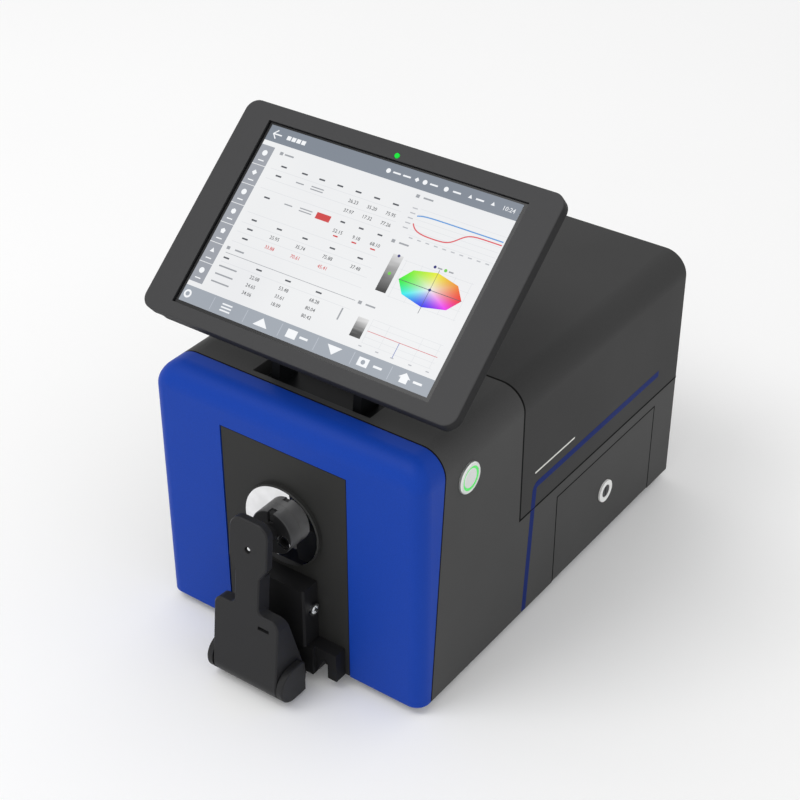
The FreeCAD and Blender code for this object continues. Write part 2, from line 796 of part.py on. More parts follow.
block = block.cut(rod_x(-skin_back, 0, 0, -cheek_in, cheek_in))
neck = box(-neck_half, neck_half, -arm_front, neck_deep - arm_front, arm_shoulder - block_round, arm_neck_top)
head = prism([V(-neck_half, -arm_front, arm_neck_top), V(neck_half, -arm_front, arm_neck_top),
              V(head_half, -arm_front, arm_head_low), V(head_half, -arm_front, arm_top),
              V(-head_half, -arm_front, arm_top), V(-head_half, -arm_front, arm_head_low)],
             V(0, head_deep, 0))
head = head.makeFillet(head_round, straight_edges(head, Y, lambda middle: middle.z > arm_top - tiny))
arm = block.fuse(neck).fuse(head).removeSplitter()
under_neck = straight_edges(arm, Y, lambda middle: abs(abs(middle.x) - neck_half) < tiny
                            and abs(middle.z - arm_shoulder) < tiny)
arm = arm.makeFillet(head_blend, under_neck)
front_rim = [edge for edge in arm.Edges if abs(edge.BoundBox.YMax + arm_front) < tiny
             and edge.BoundBox.ZMax > tiny]
arm = arm.makeChamfer(arm_edge, front_rim)
arm = arm.cut(box(slot_middle - slot_width / 2, slot_middle + slot_width / 2, -arm_front - 1,
                  slot_depth - arm_front, slot_level - slot_height / 2, slot_level + slot_height / 2))
arm = leaned(arm)
stem_height = port_height + pad_lift + stem_lift
arm = arm.cut(rod_x(pivot_pin, -pivot_out, pivot_height, -base_half, base_half))
arm = arm.cut(rod_y(stem_radius + fit, 0, stem_height, -2 * base_half, 0))
keep("holder_arm", arm)
caps = []
for side in (-1, 1):
    x0, x1 = sorted((side * (block_half + cap_groove), side * (block_half + cap_width)))
    cap = box(x0, x1, -pivot_out, cap_back - pivot_out, pivot_height - cap_radius, pivot_height + cap_radius)
    cap = cap.makeFillet(cap_corner, straight_edges(cap, X, lambda middle: middle.y > -pivot_out + tiny
                                                     and middle.z > pivot_height))
    cap = cap.fuse(rod_x(cap_radius, -pivot_out, pivot_height, x0, x1)).removeSplitter()
    outer_face = side * (block_half + cap_width)
    cap = cap.makeFillet(cap_edge,
                         [edge for edge in cap.Edges if abs(edge.CenterOfMass.x - outer_face) < tiny])
    x0, x1 = sorted((side * block_half, side * (block_half + cap_groove)))
    caps.append(cap.fuse(rod_x(2 * pivot_pin, -pivot_out, pivot_height, x0, x1)))
keep("arm_end_caps", *caps)
keep("arm_pivot_pin", rod_x(pivot_pin, -pivot_out, pivot_height, -block_half, block_half))

# Pad with its hub and stem, its two eyelets, and the rubber stop on the arm
lean = math.radians(arm_lean)
arm_face = -pivot_out - arm_front / math.cos(lean) + math.tan(lean) * (stem_height - pivot_height)
head_back = arm_face + head_deep / math.cos(lean)
bush_end = head_back + bush_length
hub_end = bush_end + pad_travel + fit
pad_height = port_height + pad_lift
pad_front = plate_face - fit
pad_back = pad_front - pad_thick
pad = rod_y(pad_radius, 0, pad_height, pad_back, pad_front)
pad = pad.makeChamfer(pad_chamfer, [edge for edge in pad.Edges if abs(edge.BoundBox.YMax - pad_back) < tiny])
pad = pad.fuse(rod_y(hub_radius, 0, stem_height, hub_end, pad_back))
pad = pad.cut(rod_y(hub_bore, 0, stem_height, hub_end, pad_back))
pad = pad.cut(box(-pad_notch / 2, pad_notch / 2, pad_back, pad_back + pad_thick / 2,
                  pad_height + pad_notch_low, pad_height + pad_radius))
eyelets = []
for side in (-1, 1):
    spot = side * eyelet_x
    seat = pad_back + eyelet_depth
    eyelet = rod_y(eyelet_radius, spot, pad_height - eyelet_drop, pad_back - fit, seat)
    pad = pad.cut(eyelet)
    eye = rod_y(eyelet_hole, spot, pad_height - eyelet_drop, pad_back - wall, seat - fit)
    eyelets.append(eyelet.cut(eye))
keep("press_pad", pad)
keep("pad_eyelets", *eyelets)
keep("pad_stem", rod_y(stem_radius, 0, stem_height, arm_face + stem_recess, pad_back))
spring = rod_y(hub_bore - fit, 0, stem_height, hub_end + fit, pad_back)
keep("pad_spring", spring.cut(rod_y(stem_radius + fit, 0, stem_height, hub_end, pad_back)))
bush = rod_y(bush_radius, 0, stem_height, head_back - head_deep / 2, bush_end)
bush = bush.cut(rod_y(stem_radius + fit, 0, stem_height, arm_face, pad_back))
keep("pad_stop_bush", bush.cut(arm))

# Power switch: body with a flange outside and a nut inside, light ring, moving cap
flange_face = half + switch_flange_out
seat = half - light_seat
body_end = half - switch_length
switch = rod_x(switch_barrel, switch_back, switch_height, body_end, half)
flange = rod_x(switch_flange, switch_back, switch_height, half, flange_face)
outer_rim = [edge for edge in flange.Edges if abs(edge.BoundBox.XMin - flange_face) < tiny]
switch = switch.fuse(flange.makeChamfer(switch_flange_out / 3, outer_rim))
switch = switch.cut(rod_x(light_outer, switch_back, switch_height, seat, flange_face))
switch = switch.cut(rod_x(light_inner, switch_back, switch_height, body_end + wall, seat))
keep("switch_body", switch)
light = rod_x(light_outer, switch_back, switch_height, seat, flange_face - fit)
keep("switch_light", light.cut(rod_x(light_inner, switch_back, switch_height, seat, flange_face)))
cap_end = half + cap_out
cap = rod_x(cap_face, switch_back, switch_height, cap_end - cap_length, cap_end)
cap_rim = [edge for edge in cap.Edges if abs(edge.BoundBox.XMin - cap_end) < tiny]
keep("switch_cap", cap.makeFillet(fit * 2, cap_rim))
corner = nut_flats / math.sqrt(3)
hexagon = [V(inner - nut_thick, switch_back + corner * math.cos(math.radians(60 * k)),
             switch_height + corner * math.sin(math.radians(60 * k))) for k in range(6)]
nut = prism(hexagon, V(nut_thick, 0, 0))
keep("switch_nut", nut.cut(rod_x(switch_barrel, switch_back, switch_height, inner - nut_thick, inner)))

# Drawer: front, tray on two runners, lock, and what the tray carries
lock_back = (drawer_front_edge + drawer_rear_edge) / 2
lock_height = drawer_top / 2 + lock_lift
front_y0 = drawer_front_edge + seam
front_y1 = drawer_rear_edge - seam
door = box(inner, half, front_y0, front_y1, seam, drawer_top - seam)
door = door.cut(rod_x(lock_sleeve_radius, lock_back, lock_height, inner, half))
keep("drawer_front", door)
tray_y0 = drawer_front_edge + tray_margin
tray_y1 = drawer_rear_edge - tray_margin
tray_x0 = inner - tray_reach
tray_top = drawer_top - tray_drop
tray_floor = tray_low + tray_wall
tray = box(tray_x0, inner, tray_y0, tray_y1, tray_low, tray_top)
tray = tray.cut(box(tray_x0 + tray_wall, inner, tray_y0 + tray_wall, tray_y1 - tray_wall,
                    tray_floor, tray_top))
keep("drawer_tray", tray)
runners = []
for way, edge in ((-1, tray_y0), (1, tray_y1)):
    guide0, guide1 = sorted((edge + way * fit, edge + way * (fit + runner_thick)))
    foot0, foot1 = sorted((edge - way * runner_foot, edge + way * (fit + runner_thick)))
    runner = box(tray_x0, inner - seam, guide0, guide1, floor_thick, floor_thick + runner_height)
    runners.append(runner.fuse(box(tray_x0, inner - seam, foot0, foot1, floor_thick, tray_low - fit)))
keep("drawer_runners", *runners)
sleeve_end = inner - lock_length
sleeve = rod_x(lock_sleeve_radius, lock_back, lock_height, sleeve_end, half)
sleeve = sleeve.fuse(rod_x(lock_flange, lock_back, lock_height, half, half + lock_flange_out))
core_bore = rod_x(lock_core_radius + fit, lock_back, lock_height, sleeve_end, half + wall)
keep("lock_sleeve", sleeve.cut(core_bore))
core_face = half + lock_flange_out - fit
core = rod_x(lock_core_radius, lock_back, lock_height, sleeve_end - fit - cam_thick, core_face)
core = core.cut(box(core_face - wall, core_face, lock_back - lock_slot / 2, lock_back + lock_slot / 2,
                    lock_height - cam_half, lock_height + cam_half))
cam_x1 = sleeve_end - fit
core = core.fuse(box(cam_x1 - cam_thick, cam_x1, lock_back - cam_half, lock_back + cam_half,
                     lock_height, lock_height + cam_reach))
keep("lock_core", core)
tray_mid = (tray_x0 + inner) / 2
tile_y = tray_y0 + tray_wall + tile_radius + wall
tile = rod_z(tile_radius, tray_mid, tile_y, tray_floor, tray_floor + tile_height)
tile = tile.cut(rod_z(tile_radius - tile_lip, tray_mid, tile_y, tray_floor + tile_height - wall,
                      tray_floor + tile_height))
keep("calibration_tile", tile)
trap_y = tray_y1 - tray_wall - trap_radius - wall
trap = rod_z(trap_radius, tray_mid, trap_y, tray_floor, tray_floor + trap_height)
trap = trap.cut(rod_z(trap_radius - trap_wall, tray_mid, trap_y, tray_floor + trap_wall,
                      tray_floor + trap_height))
keep("zero_trap", trap)

# Main board on standoffs, and power supply, on the floor
pcb_x0 = post_size - inner + fit
pcb_x1 = pcb_x0 + pcb_width
supply_rear = body_depth - supply_gap
supply_front = supply_rear - supply_length
pcb_rear = supply_front - pcb_rear_gap
pcb_low = floor_thick + pcb_gap
pcb = box(pcb_x0, pcb_x1, pcb_front, pcb_rear, pcb_low, pcb_low + board_thick)
chip_width = pcb_width / 5
chip_length = (pcb_rear - pcb_front) / 5
for across, along in ((1, 1), (3, 2), (2, 3)):
    x0 = pcb_x0 + across * chip_width
    y0 = pcb_front + along * chip_length
    pcb = pcb.fuse(box(x0, x0 + chip_width / 2, y0, y0 + chip_length, pcb_low + board_thick,
                       pcb_low + board_thick + across * wall))
keep("main_board", pcb)
standoffs = []
for x in (pcb_x0 + 2 * standoff_radius, pcb_x1 - 2 * standoff_radius):
    for y in (pcb_front + 2 * standoff_radius, pcb_rear - 2 * standoff_radius):
        standoffs.append(rod_z(standoff_radius, x, y, floor_thick, pcb_low))
keep("board_standoffs", *standoffs)
supply_top = floor_thick + supply_height
supply = box(pcb_x0, pcb_x0 + supply_width, supply_front, supply_rear, floor_thick, supply_top)
supply = supply.cut(box(pcb_x0 + sheet, pcb_x0 + supply_width - sheet,
                        supply_front + sheet, supply_rear - sheet, floor_thick, supply_top - sheet))
keep("power_supply", supply)

# Under the lid: spectrometer with its entrance tube, and the stage for a sample cell
box_half = box_width / 2
box_rear = body_depth - box_gap
tube_front = stage_middle + stage_length / 2 + stage_gap
box_front = tube_front + tube_length
box_top = body_height - wall - box_headroom
optics = soft_box(-box_half, box_half, box_front, box_rear, lid_base, box_top, Y, wall,
                  lambda middle: middle.z > port_height)
optics = optics.cut(box(wall - box_half, box_half - wall, box_front + wall, box_rear - wall,
                        lid_base, box_top - wall))
optics = optics.fuse(rod_y(tube_radius, 0, port_height, tube_front, box_front))
optics = optics.cut(rod_y(tube_radius - sheet, 0, port_height, tube_front, tube_front + 2 * lens_thick))
optics = optics.cut(rod_y(tube_radius / 2, 0, port_height, tube_front, box_front + wall))
keep("spectrometer_box", optics)
lens_front = tube_front + lens_thick
keep("entrance_lens", rod_y(tube_radius - sheet, 0, port_height, lens_front, lens_front + lens_thick))
stage_half = stage_width / 2
stage_y0 = stage_middle - stage_length / 2
stage = box(-stage_half, stage_half, stage_y0, stage_y0 + stage_length, lid_base, lid_base + stage_plate)
cell_block = stage_block / 2
stage = stage.fuse(box(-cell_block, cell_block, stage_middle - cell_block, stage_middle + cell_block,
                       lid_base + stage_plate, lid_base + stage_top))
well = cell_well / 2
stage = stage.cut(box(-well, well, stage_middle - well, stage_middle + well,
                      lid_base + cell_floor, lid_base + stage_top))
stage = stage.cut(rod_y(beam_radius, 0, port_height, stage_y0, stage_y0 + stage_length))
keep("cuvette_stage", stage)

# Rear connections on a plate behind the housing's opening
io_face = rear_inside
io_back = io_face - sheet
io = box(io_left - io_lap, io_right + io_lap, io_back, io_face, io_low - io_lap, io_top + io_lap)
inlet_x0 = io_left + io_lap
inlet_x1 = inlet_x0 + inlet_width
inlet_z0 = io_low + (io_height - inlet_height) / 2
inlet_z1 = inlet_z0 + inlet_height
io = io.cut(box(inlet_x0, inlet_x1, io_back, io_face, inlet_z0, inlet_z1))
inlet = box(inlet_x0, inlet_x1, io_face - inlet_depth, io_face + sheet, inlet_z0, inlet_z1)
inlet = inlet.fuse(box(inlet_x0 - sheet, inlet_x1 + sheet, io_face, io_face + sheet, inlet_z0 - sheet,
                       inlet_z1 + sheet))
recess_back = io_face + sheet - inlet_recess
inlet = inlet.cut(box(inlet_x0 + sheet, inlet_x1 - sheet, recess_back, io_face + sheet,
                      inlet_z0 + sheet, inlet_z1 - sheet))
inlet_mid = (inlet_x0 + inlet_x1) / 2
blade_z = (inlet_z0 + inlet_z1) / 2
for number in (-1, 0, 1):
    x = inlet_mid + number * inlet_width / 4
    z = blade_z - sheet * abs(number) + sheet
    inlet = inlet.fuse(box(x - sheet / 2, x + sheet / 2, recess_back, recess_back + inlet_pin,
                           z - sheet, z + sheet))
keep("power_inlet", inlet)
sockets = []
data_z0 = io_low + (io_height - data_height) / 2
for number in range(data_count):
    x0 = inlet_x1 + data_pitch / 2 + number * data_pitch
    x1 = x0 + data_width
    io = io.cut(box(x0, x1, io_back, io_face, data_z0, data_z0 + data_height))
    socket = box(x0, x1, io_face - data_depth, io_face + sheet, data_z0, data_z0 + data_height)
    socket = socket.cut(box(x0 + data_wall, x1 - data_wall, io_face - data_depth + data_wall, io_face + sheet,
                            data_z0 + data_wall, data_z0 + data_height - data_wall))
    sockets.append(socket)
keep("io_plate", io)
keep("data_sockets", *sockets)
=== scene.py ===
# %% [markdown]
# A benchtop spectrophotometer, dressed for its portrait. The solids of its casing, lid, display and
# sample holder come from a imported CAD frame, so their sizes and their joints are settled. This lesson
# adds what such a frame leaves out: camera and light, a finish for every surface, and the fine pieces
# that a maker prints, winds or screws on at the end.

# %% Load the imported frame
import math

import bmesh
import bpy
import numpy as np
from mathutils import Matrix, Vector


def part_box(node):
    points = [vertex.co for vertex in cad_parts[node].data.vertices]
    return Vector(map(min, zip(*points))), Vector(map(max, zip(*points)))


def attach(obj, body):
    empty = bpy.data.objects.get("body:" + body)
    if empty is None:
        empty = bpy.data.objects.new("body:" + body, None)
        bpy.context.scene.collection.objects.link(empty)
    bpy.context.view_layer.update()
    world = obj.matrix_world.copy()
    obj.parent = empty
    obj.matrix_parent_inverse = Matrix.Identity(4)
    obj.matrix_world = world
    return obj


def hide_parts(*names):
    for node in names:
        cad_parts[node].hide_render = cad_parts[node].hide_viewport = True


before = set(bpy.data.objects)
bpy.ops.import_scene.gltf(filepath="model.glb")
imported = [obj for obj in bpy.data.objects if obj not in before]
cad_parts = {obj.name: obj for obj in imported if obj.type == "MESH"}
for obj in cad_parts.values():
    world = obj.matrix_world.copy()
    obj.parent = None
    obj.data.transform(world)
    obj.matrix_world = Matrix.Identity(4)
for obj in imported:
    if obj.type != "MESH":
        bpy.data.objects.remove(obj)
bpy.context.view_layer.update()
mm = 0.001

# %% [markdown]
# The camera comes first, because it decides which surfaces deserve the most work. A product view can be
# set by dragging the camera about, but numbers are easier to keep: a point to look at, a distance, and
# two angles round the object. The long lens keeps the box's upright edges nearly parallel.


# %% Camera
def show(name, data):
    """A new object with its data, placed in the scene."""
    thing = bpy.data.objects.new(name, data)
    bpy.context.scene.collection.objects.link(thing)
    return thing


look_at = Vector((28.9, -59.1, 187.5)) * mm
view_distance = 1258.7 * mm
view_azimuth = math.radians(35.8)
view_elevation = math.radians(33.84)
lens_length = 78.06

backwards = Vector((math.sin(view_azimuth) * math.cos(view_elevation),
                    -math.cos(view_azimuth) * math.cos(view_elevation),
                    math.sin(view_elevation)))
camera = show("camera", bpy.data.cameras.new("camera"))
camera.data.lens = lens_length
camera.location = look_at + backwards * view_distance
camera.rotation_euler = backwards.to_track_quat("Z", "Y").to_euler()
bpy.context.scene.camera = camera
bpy.context.scene.view_settings.view_transform = "Standard"
print("camera stands at", [round(value, 3) for value in camera.location])

# %% [markdown]
# A finish in Blender is a small network of nodes. A few helpers keep the networks short to read: they
# add a node beside another one, join two nodes, or start a finish. Colours are written as they look on
# a screen, from 0 to 255, and turned into the linear light that Blender mixes.


# %% Helpers for node networks
def as_light(share):
    """Screen values from 0 to 1 as linear light: the standard curve, straight near black."""
    share = np.asarray(share, dtype=float)
    return np.where(share <= 0.04045, share / 12.92, ((share + 0.055) / 1.055) ** 2.4)


def tone(colour, share=1.0, lift=0):
    """A screen colour from 0 to 255, times a share and plus a lift, as linear light with full cover."""
    return (*as_light((share * np.array(colour) + lift) / 255).tolist(), 1.0)


def add(near, kind, sockets=None, **settings):
    """A new node in the network of another, with sockets filled in by name and settings by attribute."""
    node = near.id_data.nodes.new("ShaderNode" + kind)
    for name, value in settings.items():
        setattr(node, name, value)
    for name, value in (sockets or {}).items():
        node.inputs[name].default_value = value
    return node


def link(output, socket):
    """Joins an output of one node to a socket of another."""
    output.id_data.links.new(output, socket)


def drive(shader, socket, source):
    """Lets the first output of source set one socket of a shader."""
    link(source.outputs[0], shader.inputs[socket])


def start_finish(name, **sockets):
    """A material and its Principled shader, whose constant sockets are set here."""
    material = bpy.data.materials.new(name)
    material.use_nodes = True
    shader = material.node_tree.nodes["Principled BSDF"]
    for socket, value in sockets.items():
        shader.inputs[socket.replace("_", " ")].default_value = value
    return material, shader


def ramp(source, low, high, start=0.0, end=1.0):
    """A colour ramp from low to high, driven by the first output of source."""
    node = add(source, "ValToRGB")
    for stop, place, colour in zip(node.color_ramp.elements, (start, end), (low, high)):
        stop.position = place
        stop.color = colour
    link(source.outputs[0], node.inputs[0])
    return node


def spread(source, low, high):
    """The first output of source, carried from the range 0 to 1 into low to high."""
    node = add(source, "MapRange", {"To Min": low, "To Max": high})
    link(source.outputs[0], node.inputs["Value"])
    return node


def pattern(near, kind, scale, **sockets):
    """A procedural texture laid on the object's own coordinates."""
    texture = add(near, "Tex" + kind, {"Scale": scale, **sockets})
    link(add(near, "TexCoord").outputs["Object"], texture.inputs["Vector"])
    return texture


def raise_by(source, shader, strength, depth):
    """Bump: where the first output of source is high, the surface seems lifted by a depth in mm."""
    bump = add(shader, "Bump", {"Strength": strength, "Distance": depth * mm})
    link(source.outputs[0], bump.inputs["Height"])
    drive(shader, "Normal", bump)


print("node helpers ready")

# %% [markdown]
# The object stands on a pale floor under a white sky. The sky alone would light it evenly from all
# round, so a large lamp in front, a little to the left, gives the soft shadow its direction. What the
# camera, a mirror or a lens sees of the sky is pure white; what lights the object is a little weaker,
# so that pale surfaces keep their tone.


# %% Sky and lamp
def shown_rays(near):
    """One for rays from the camera, a mirror or a lens, and nothing for those that only carry light."""
    rays = add(near, "LightPath")
    seen = add(near, "Math", operation="MAXIMUM")
    shown = add(near, "Math", operation="MAXIMUM")
    link(rays.outputs["Is Camera Ray"], seen.inputs[0])
    link(rays.outputs["Is Glossy Ray"], seen.inputs[1])
    link(seen.outputs[0], shown.inputs[0])
    link(rays.outputs["Is Transmission Ray"], shown.inputs[1])
    return shown


sky_strength = 0.78
lamp_place = (-0.95, -1.6, 3.0)
lamp_size = 1.6
lamp_power = 31.0

world = bpy.data.worlds.new("studio")
bpy.context.scene.world = world
world.use_nodes = True
sky = world.node_tree.nodes["Background"]
sky.inputs["Color"].default_value = (1.0, 1.0, 1.0, 1.0)
drive(sky, "Strength", spread(shown_rays(sky), sky_strength, 1.0))

lamp = show("key", bpy.data.lights.new("key", "AREA"))
lamp.data.size = lamp_size
lamp.data.energy = lamp_power
lamp.location = lamp_place
lamp.rotation_euler = (Vector(lamp_place) - look_at).to_track_quat("Z", "Y").to_euler()
print("sky", sky_strength, "and one lamp of", lamp_power, "W")

# %% [markdown]
# The floor is a sheet of studio paper, made as a disc: rings of points whose height drops a little
# towards the rim, so that the far edge never shows as a hard line. A plane would do as well, but a disc
# looks the same from every side. For the camera, mirrors and lenses alone it glows faintly, which keeps
# the page white and still leaves the shadow.


# %% Floor
def grid_faces(rows, columns):
    """Four corners for each cell of a grid of points, whose last column joins the first."""
    number = np.arange(rows * columns).reshape(rows, columns)
    number = np.concatenate([number, number[:, :1]], axis=1)
    cells = [number[:-1, :-1], number[:-1, 1:], number[1:, 1:], number[1:, :-1]]
    return np.stack(cells, axis=-1).reshape(-1, 4).tolist()


floor_radius = 6.0
rim_drop = 0.02
floor_glow = 0.055
turn = np.linspace(0, 2 * np.pi, 97)[:-1]
reach = np.linspace(1, 0, 13)[:-1, None]
disc = np.stack([reach * floor_radius * np.cos(turn), reach * floor_radius * np.sin(turn),
                 -rim_drop * np.maximum(reach - 0.8, 0) * np.ones_like(turn)], axis=-1)
rings, spokes = disc.shape[:2]
centre = list(range((rings - 1) * spokes, rings * spokes))
floor_mesh = bpy.data.meshes.new("floor")
floor_mesh.from_pydata(disc.reshape(-1, 3).tolist(), [], grid_faces(rings, spokes) + [centre])
floor = show("floor", floor_mesh)

paper, shader = start_finish("floor_paper", Roughness=0.9, Specular_IOR_Level=0.0)
tint = ramp(pattern(shader, "Noise", 3.0, Detail=2.0), tone((249, 249, 249)), tone((251, 251, 251)))
drive(shader, "Base Color", tint)
drive(shader, "Emission Color", tint)
drive(shader, "Emission Strength", spread(shown_rays(shader), 0.0, floor_glow))
floor_mesh.materials.append(paper)
print("floor faces:", len(floor_mesh.polygons))

# %% [markdown]
# Most of the casing is plastic from a textured mould. On the real part the mould's surface was eroded
# by sparks, so the plastic carries a fine even grain: it breaks up highlights and hides fingerprints.
# Fine noise makes the grain, and broad noise lets the gloss wander, as it does where a moulding cooled
# at different speeds. An image texture could do the same; noise needs no file and has no seam.


# %% Moulded plastics
def moulded(name, colour, grain, depth, roughness, gloss=0.15):
    """Plastic from a textured mould: noise of a grain in mm lifts it, and broad noise moves the gloss."""
    material, shader = start_finish(name, Specular_IOR_Level=gloss)
    fine = pattern(shader, "Noise", 1 / (grain * mm), Detail=3.0)
    broad = pattern(shader, "Noise", 14.0, Detail=2.0)
    drive(shader, "Base Color", ramp(fine, tone(colour, 0.94), tone(colour, 1.06), 0.3, 0.7))
    drive(shader, "Roughness", spread(broad, roughness - 0.07, roughness + 0.07))
    raise_by(fine, shader, 0.6, depth)
    return material


def dress(finish, *nodes):
    """Gives CAD nodes a finish in place of their plain colour."""
    for node in nodes:
        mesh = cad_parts[node].data
        mesh.materials.clear()
        mesh.materials.append(finish)
    dressed.extend(nodes)


dressed = []
dress(moulded("casing_charcoal", (69, 69, 69), 0.5, 0.05, 0.55), "main_housing", "drawer_front")
# The lid is the same charcoal plastic as the housing, made darker here as painted shade on its sides.
dress(moulded("lid_charcoal_painted_shade", (59, 59, 59), 0.5, 0.05, 0.55, 0.1), "rear_lid")
dress(moulded("panel_blue", (20, 64, 166), 0.35, 0.02, 0.45, 0.1), "front_panel")
print("plastic nodes:", dressed)

# %% [markdown]
# The smaller mouldings have their own blacks, from the satin of the arm that hands touch to the dull
# socket housings. The holder's base is a darker black, as painted shade under the arm. They differ only in
# colour, grain and gloss, so one function serves them all.

# %% Smaller mouldings
socket_black = moulded("socket_black", (28, 28, 29), 0.3, 0.02, 0.5)
dress(socket_black, "power_inlet", "drawer_tray")
dress(moulded("strip_black", (45, 45, 44), 0.4, 0.03, 0.5), "aperture_strip", "aperture_ring")
dress(moulded("arm_black", (42, 42, 43), 0.3, 0.02, 0.45), "holder_arm", "arm_end_caps")
# The holder's base is black plastic, painted darker than the arm as painted shade under it.
dress(moulded("base_black_painted_shade", (30, 30, 31), 0.3, 0.02, 0.5, 0.1), "holder_base")
dress(moulded("cover_black", (37, 37, 38), 0.4, 0.03, 0.5, 0.05), "display_cover")
dress(moulded("hinge_black", (24, 25, 27), 0.6, 0.04, 0.4, 0.08), "display_hinge_arm", "display_hinge_base")
# The lock's ring is satin nickel; its bright reflection is painted as a nearly white plastic colour.
dress(moulded("lock_ring_painted_reflection", (246, 246, 244), 0.3, 0.005, 0.4), "lock_sleeve")
dress(moulded("core_grey", (66, 66, 67), 0.3, 0.01, 0.4), "lock_core")
print("plastic nodes:", len(dressed))

# %% [markdown]
# The display's front frame has two tones: grey on the face, and darker on the edge, which is left bare
# when the face is sprayed through a mask. The mask here is height along the face's own direction, taken
# from Object coordinates, so that it tilts with the display. The pad of the sample holder gets the same
# treatment: its back is left dull and painted darker, as painted shade from the arm's head, and its side
# is turned smooth.


# %% Display frame and pad in two tones
def points_of(mesh):
    """All vertex places of a mesh, one row each."""
    places = np.empty(3 * len(mesh.vertices))
    mesh.vertices.foreach_get("co", places)
    return places.reshape(-1, 3)


def corners_of(node):
    """The vertex places of a CAD node, with repeats left out."""
    return np.unique(points_of(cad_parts[node].data).round(7), axis=0)


def box_of(node):
    """Lowest and highest corner of a CAD node at rest, as arrays."""
    return [np.array(corner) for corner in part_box(node)]


def main_axes(places):
    """Across, up and out of a flat box: its principal directions, longest first, signs made plain."""
    across, up = np.linalg.svd(places - places.mean(axis=0), full_matrices=False)[2][:2]
    across = across * np.sign(across[0])
    up = up * np.sign(up[2])
    return across, up, np.cross(across, up)


def masked(name, face_colour, edge_colour, out, level, gloss=(0.15, 0.02), blur=0.15 * mm):
    """Two tones through a mask: beyond level along out the face colour, below it the edge colour; sprayed
    paint on the bezel, painted shade on the pad's back.
    """
    material, shader = start_finish(name)
    height = add(shader, "VectorMath", operation="DOT_PRODUCT")
    height.inputs[1].default_value = tuple(out)
    mask = add(shader, "MapRange", {"From Min": level - blur, "From Max": level + blur})
    link(add(shader, "TexCoord").outputs["Object"], height.inputs[0])
    link(height.outputs["Value"], mask.inputs["Value"])
    fine = pattern(shader, "Noise", 1 / (0.3 * mm), Detail=3.0)
    drive(shader, "Base Color", ramp(mask, tone(edge_colour), tone(face_colour)))
    drive(shader, "Specular IOR Level", spread(mask, gloss[1], gloss[0]))
    drive(shader, "Roughness", spread(fine, 0.38, 0.5))
    raise_by(fine, shader, 0.6, 0.02)
    return material


panel_places = corners_of("display_panel")
screen_right, screen_up, screen_out = main_axes(panel_places)
bezel_face = (corners_of("display_bezel") @ screen_out).max()
mask_depth = 0.5 * mm
dress(masked("bezel_grey", (63, 63, 64), (46, 46, 47), screen_out, bezel_face - mask_depth), "display_bezel")
pad_low, pad_high = box_of("press_pad")
pad_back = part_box("pad_eyelets")[0].y + 0.3 * mm
# The pad's back is painted darker than its side: painted shade from the arm's head in front of it.
pad_black = masked("pad_black", (34, 34, 35), (45, 45, 46), (0, -1, 0), -pad_back - mask_depth, (0.05, 0.6))
dress(pad_black, "press_pad")
print("the display leans back by", round(math.degrees(math.acos(screen_out[2])), 1), "degrees")

# %% [markdown]
# Rubber is duller than plastic and a little dusty. The light trap in the drawer is flocked, so it
# swallows light from every side; a touch of sheen gives the pile its soft edge.


# %% Rubber and flock
def soft_black(name, colour, speck, pile):
    """Dull black stock: noise of a speck in mm for paler dust, and pile as the weight of the sheen."""
    material, shader = start_finish(name, Roughness=0.85, Specular_IOR_Level=0.08, Sheen_Weight=pile)
    dust = pattern(shader, "Noise", 1 / (speck * mm), Detail=4.0, Roughness=0.7)
    drive(shader, "Base Color", ramp(dust, tone(colour), tone(colour, lift=14), 0.45, 0.8))
    raise_by(dust, shader, 0.4, 0.1)
    return material


dress(soft_black("rubber", (28, 28, 28), 0.7, 0.0), "rubber_feet", "lid_seal", "lid_bumpers", "pad_stop_bush")
dress(soft_black("flock", (12, 12, 13), 0.25, 0.2), "zero_trap")
print("nodes so far:", len(dressed))

# %% [markdown]
# Metals differ by how they were worked. Polished and plated faces get a low roughness that a faint
# noise disturbs, bead-blasted castings a coarse even grain, and zinc sheet the pale flakes that its
# coating grows. The plate round the measuring port mirrors the pad, so it is nearly a perfect mirror.


# %% Metals
def metal(name, colour, roughness, wander, grain, depth, flakes=False):
    """Bare metal: noise or cells of a grain in mm shift colour and roughness, and lift it by depth."""
    material, shader = start_finish(name, Metallic=1.0)
    if flakes:
        worked = pattern(shader, "Voronoi", 1 / (grain * mm))
    else:
        worked = pattern(shader, "Noise", 1 / (grain * mm), Detail=3.0)
    drive(shader, "Base Color", ramp(worked, tone(colour, 0.9), tone(colour), 0.2, 0.8))
    drive(shader, "Roughness", spread(worked, roughness, roughness + wander))
    raise_by(worked, shader, 0.5, depth)
    return material


chrome = metal("bright_chrome", (236, 237, 238), 0.06, 0.08, 2.0, 0.001)
ground_steel = metal("ground_steel", (206, 206, 208), 0.18, 0.14, 0.4, 0.003)
zinc = metal("zinc_sheet", (186, 190, 194), 0.34, 0.2, 4.0, 0.004, flakes=True)
blasted = metal("blasted_casting", (150, 152, 154), 0.48, 0.14, 0.5, 0.03)
dress(chrome, "holder_stop_pin", "pad_eyelets", "pad_stem")
dress(ground_steel, "arm_pivot_pin", "display_hinge_shaft", "lid_hinge_pins")
dress(metal("switch_silver", (240, 244, 241), 0.4, 0.12, 0.3, 0.004),
      "switch_body", "switch_cap", "switch_nut")
dress(zinc, "base_plate", "io_plate", "power_supply", "drawer_runners", "board_standoffs",
      "lid_hinge_brackets", "lid_hinge_leaves", "data_sockets", "base_screws")
dress(blasted, "sphere_front", "sphere_rear", "sphere_cradle", "lamp_housing", "spectrometer_box",
      "cuvette_stage", "arm_spring", "pad_spring")
dress(metal("polished_plate", (246, 246, 246), 0.01, 0.02, 12.0, 0.0001), "aperture_plate")
